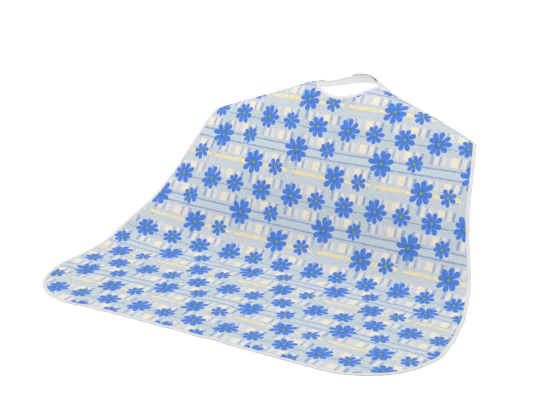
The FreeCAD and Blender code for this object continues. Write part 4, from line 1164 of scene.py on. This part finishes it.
over = strap_piece("strap_over_band", over_map, 11)
under = strap_piece("strap_under_band", under_map, 12)
pin = hairpin(2.0, LEN - 3.0, 3.0, STRAP_W - 3.0)
over_st = stitch_piece("strap_over_stitches", pin, STRAP_T - 0.02, both=0.02, place_fn=wrap_map(over_map), seed=21)
under_st = stitch_piece("strap_under_stitches", pin, STRAP_T - 0.02, both=0.02, place_fn=wrap_map(under_map), seed=22)
hook = join("hook_tape_patch", tape_patch("hook_tape_patch", over_map, -0.95, -0.15, 5), hooks("hooks", over_map, -0.90, -1.48))
loop = tape_patch("loop_tape_patch", under_map, STRAP_T + 0.15, STRAP_T + 1.35, 6)
box = rect_path(HALFWAY - 26.0, HALFWAY + 26.0, STRAP_W / 2.0 - 10.5, STRAP_W / 2.0 + 10.5)
hook_st = stitch_piece("hook_tape_stitches", box, STRAP_T + 0.12, both=-0.96, pitch=2.6, length=1.9, place_fn=wrap_map(over_map), seed=23)
loop_st = stitch_piece("loop_tape_stitches", box, STRAP_T + 1.34, both=0.0, pitch=2.6, length=1.9, place_fn=wrap_map(under_map), seed=24)
for ob, mat, node, slot, body in (
        (over, MAT_STRAP, "neck_strap_over", "strap_cloth", "strap_over"),
        (over_st, MAT_THREAD, "neck_strap_over_stitching", "thread", "strap_over"),
        (hook, MAT_HOOK, "hook_tape", "hook_tape", "strap_over"),
        (hook_st, MAT_THREAD, "hook_tape_stitching", "thread", "strap_over"),
        (under, MAT_STRAP, "neck_strap_under", "strap_cloth", "strap_under"),
        (under_st, MAT_THREAD, "neck_strap_under_stitching", "thread", "strap_under"),
        (loop, MAT_LOOP, "loop_tape", "loop_tape", "strap_under"),
        (loop_st, MAT_THREAD, "loop_tape_stitching", "thread", "strap_under")):
    give(ob, mat)
    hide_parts(node)
    sgn = 1.0 if body == "strap_over" else -1.0
    if "tape" in ob.name:
        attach(ob, body)
    else:
        0.095 * sgn
        0.058 * sgn
        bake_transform(ob)

# blank label inside the chest, below the neckline
LW, LH = 38.0, 24.0
l_top = NECK_TOP - NECK_B - 11.0 - 3.0
nx, ny = 25, 19
X, Y = np.meshgrid(np.linspace(-LW / 2, LW / 2, nx), np.linspace(0.0, LH, ny), indexing="ij")
curl = 1.1 * (np.clip((Y - 4.0) / LH, 0, 1)) ** 2 + 0.25 * np.sin(X / 8.0) * np.clip((Y - 4) / LH, 0, 1)
lab_low = 0.30 - curl - 0.24
nlab = nx * ny
fold = 0.20 * np.exp(-((LH - Y) / 1.2) ** 2)
T = place(X.ravel(), (l_top - Y).ravel(), (lab_low + 0.24).ravel())
B = place(X.ravel(), (l_top - Y).ravel(), (lab_low - fold).ravel())
faces = grid_faces(nx, ny) + grid_faces(nx, ny, nlab, True)
ring = [i * ny for i in range(nx)] + [(nx - 1) * ny + j for j in range(1, ny)] \
    + [i * ny + ny - 1 for i in range(nx - 2, -1, -1)] + [j for j in range(ny - 2, 0, -1)]
for a, b in zip(ring, ring[1:] + ring[:1]):
    faces.append((b, a, a + nlab, b + nlab))
att = np.stack([X.ravel() / 1000.0, Y.ravel() / 1000.0, np.zeros(nlab)], -1)
label = mesh_object("label_ribbon_patch", np.vstack([T, B]), faces, {"tape": np.vstack([att, att])})
fix_normals(label)
give(label, MAT_LABEL)
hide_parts("care_label")
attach(label, "bib")
row = densify([(-LW / 2 + 2.0, l_top - 2.0), (LW / 2 - 2.0, l_top - 2.0)], 1.0)
label_st = stitch_piece("label_stitches", row, 0.06, pitch=2.6, length=1.9, seed=31)
give(label_st, MAT_THREAD)
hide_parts("care_label_stitching")
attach(label_st, "bib")

# ------------------------------------------------------------------ stage, light, camera
bpy.ops.mesh.primitive_plane_add(size=14.0, location=(0, 0.4, -0.0012))
floor = bpy.context.object
floor.name = "floor"
fm = Net("floor_paper")
fm.set(fm.bsdf.inputs["Base Color"], rgb((250, 250, 251)))
fm.set(fm.bsdf.inputs["Roughness"], 0.9)
fm.set(fm.bsdf.inputs["Specular IOR Level"], 0.1)
fm.bsdf.inputs["Emission Color"].default_value = (1.0, 1.0, 1.0, 1.0)
fm.bsdf.inputs["Emission Strength"].default_value = 0.34
floor.data.materials.append(fm.mat)
# when the lap hangs down, the floor is that much lower
drop = floor.driver_add("location", 2).driver
turn = drop.variables.new()
turn.name, turn.type = "a", "TRANSFORMS"
turn.targets[0].id = frame["bodies"]["lap"]
turn.targets[0].transform_type = "ROT_X"
turn.targets[0].transform_space = "WORLD_SPACE"
drop.expression = "-0.0012 - 0.318 * max(0.0, sin(a))"


def area(name, loc, target, size, power, col=(1, 1, 1)):
    L = bpy.data.lights.new(name, "AREA")
    L.shape = "RECTANGLE"
    L.size, L.size_y = size
    L.energy = power
    L.color = col
    o = bpy.data.objects.new(name, L)
    o.location = loc
    o.rotation_euler = (Vector(target) - Vector(loc)).to_track_quat("-Z", "Y").to_euler()
    bpy.context.scene.collection.objects.link(o)
    return o


area("key", (-1.6, -1.3, 2.6), (0.0, 0.35, 0.1), (2.2, 1.8), 26.0, (1.0, 0.985, 0.955))
area("fill", (2.6, -0.9, 1.8), (0.0, 0.4, 0.2), (2.4, 2.0), 8.0, (1.0, 0.985, 0.955))
area("top", (0.1, 0.8, 3.2), (0.0, 0.4, 0.1), (2.6, 2.6), 40.0, (0.90, 0.965, 1.0))
world = bpy.data.worlds.new("studio")
bpy.context.scene.world = world
world.use_nodes = True
world.node_tree.nodes["Background"].inputs[0].default_value = (1.0, 1.0, 1.0, 1.0)
world.node_tree.nodes["Background"].inputs[1].default_value = 0.60
# the backdrop itself is plain white
wt = world.node_tree
white = wt.nodes.new("ShaderNodeBackground")
white.inputs[0].default_value = (1.0, 1.0, 1.0, 1.0)
white.inputs[1].default_value = 1.0
seen = wt.nodes.new("ShaderNodeLightPath")
both = wt.nodes.new("ShaderNodeMixShader")
wt.links.new(seen.outputs["Is Camera Ray"], both.inputs[0])
wt.links.new(wt.nodes["Background"].outputs[0], both.inputs[1])
wt.links.new(white.outputs[0], both.inputs[2])
wt.links.new(both.outputs[0], wt.nodes["World Output"].inputs[0])
bpy.context.scene.view_settings.view_transform = "Standard"

cam_data = bpy.data.cameras.new("camera")
cam_data.sensor_width = 36.0
cam_data.lens = 87.8
cam = bpy.data.objects.new("camera", cam_data)
bpy.context.scene.collection.objects.link(cam)
RT = Vector((0.83740578, 0.5463357, -0.01639728))
UP = Vector((-0.16591873, 0.28267011, 0.94475848))
FW = Vector((-0.5207903, 0.78842559, -0.32735691))
m = Matrix((RT, UP, -FW)).transposed().to_4x4()
m.translation = Vector((1.3970, -1.8351, 1.0692))
cam.matrix_world = m
cam_data.clip_end = 50.0
bpy.context.scene.camera = cam
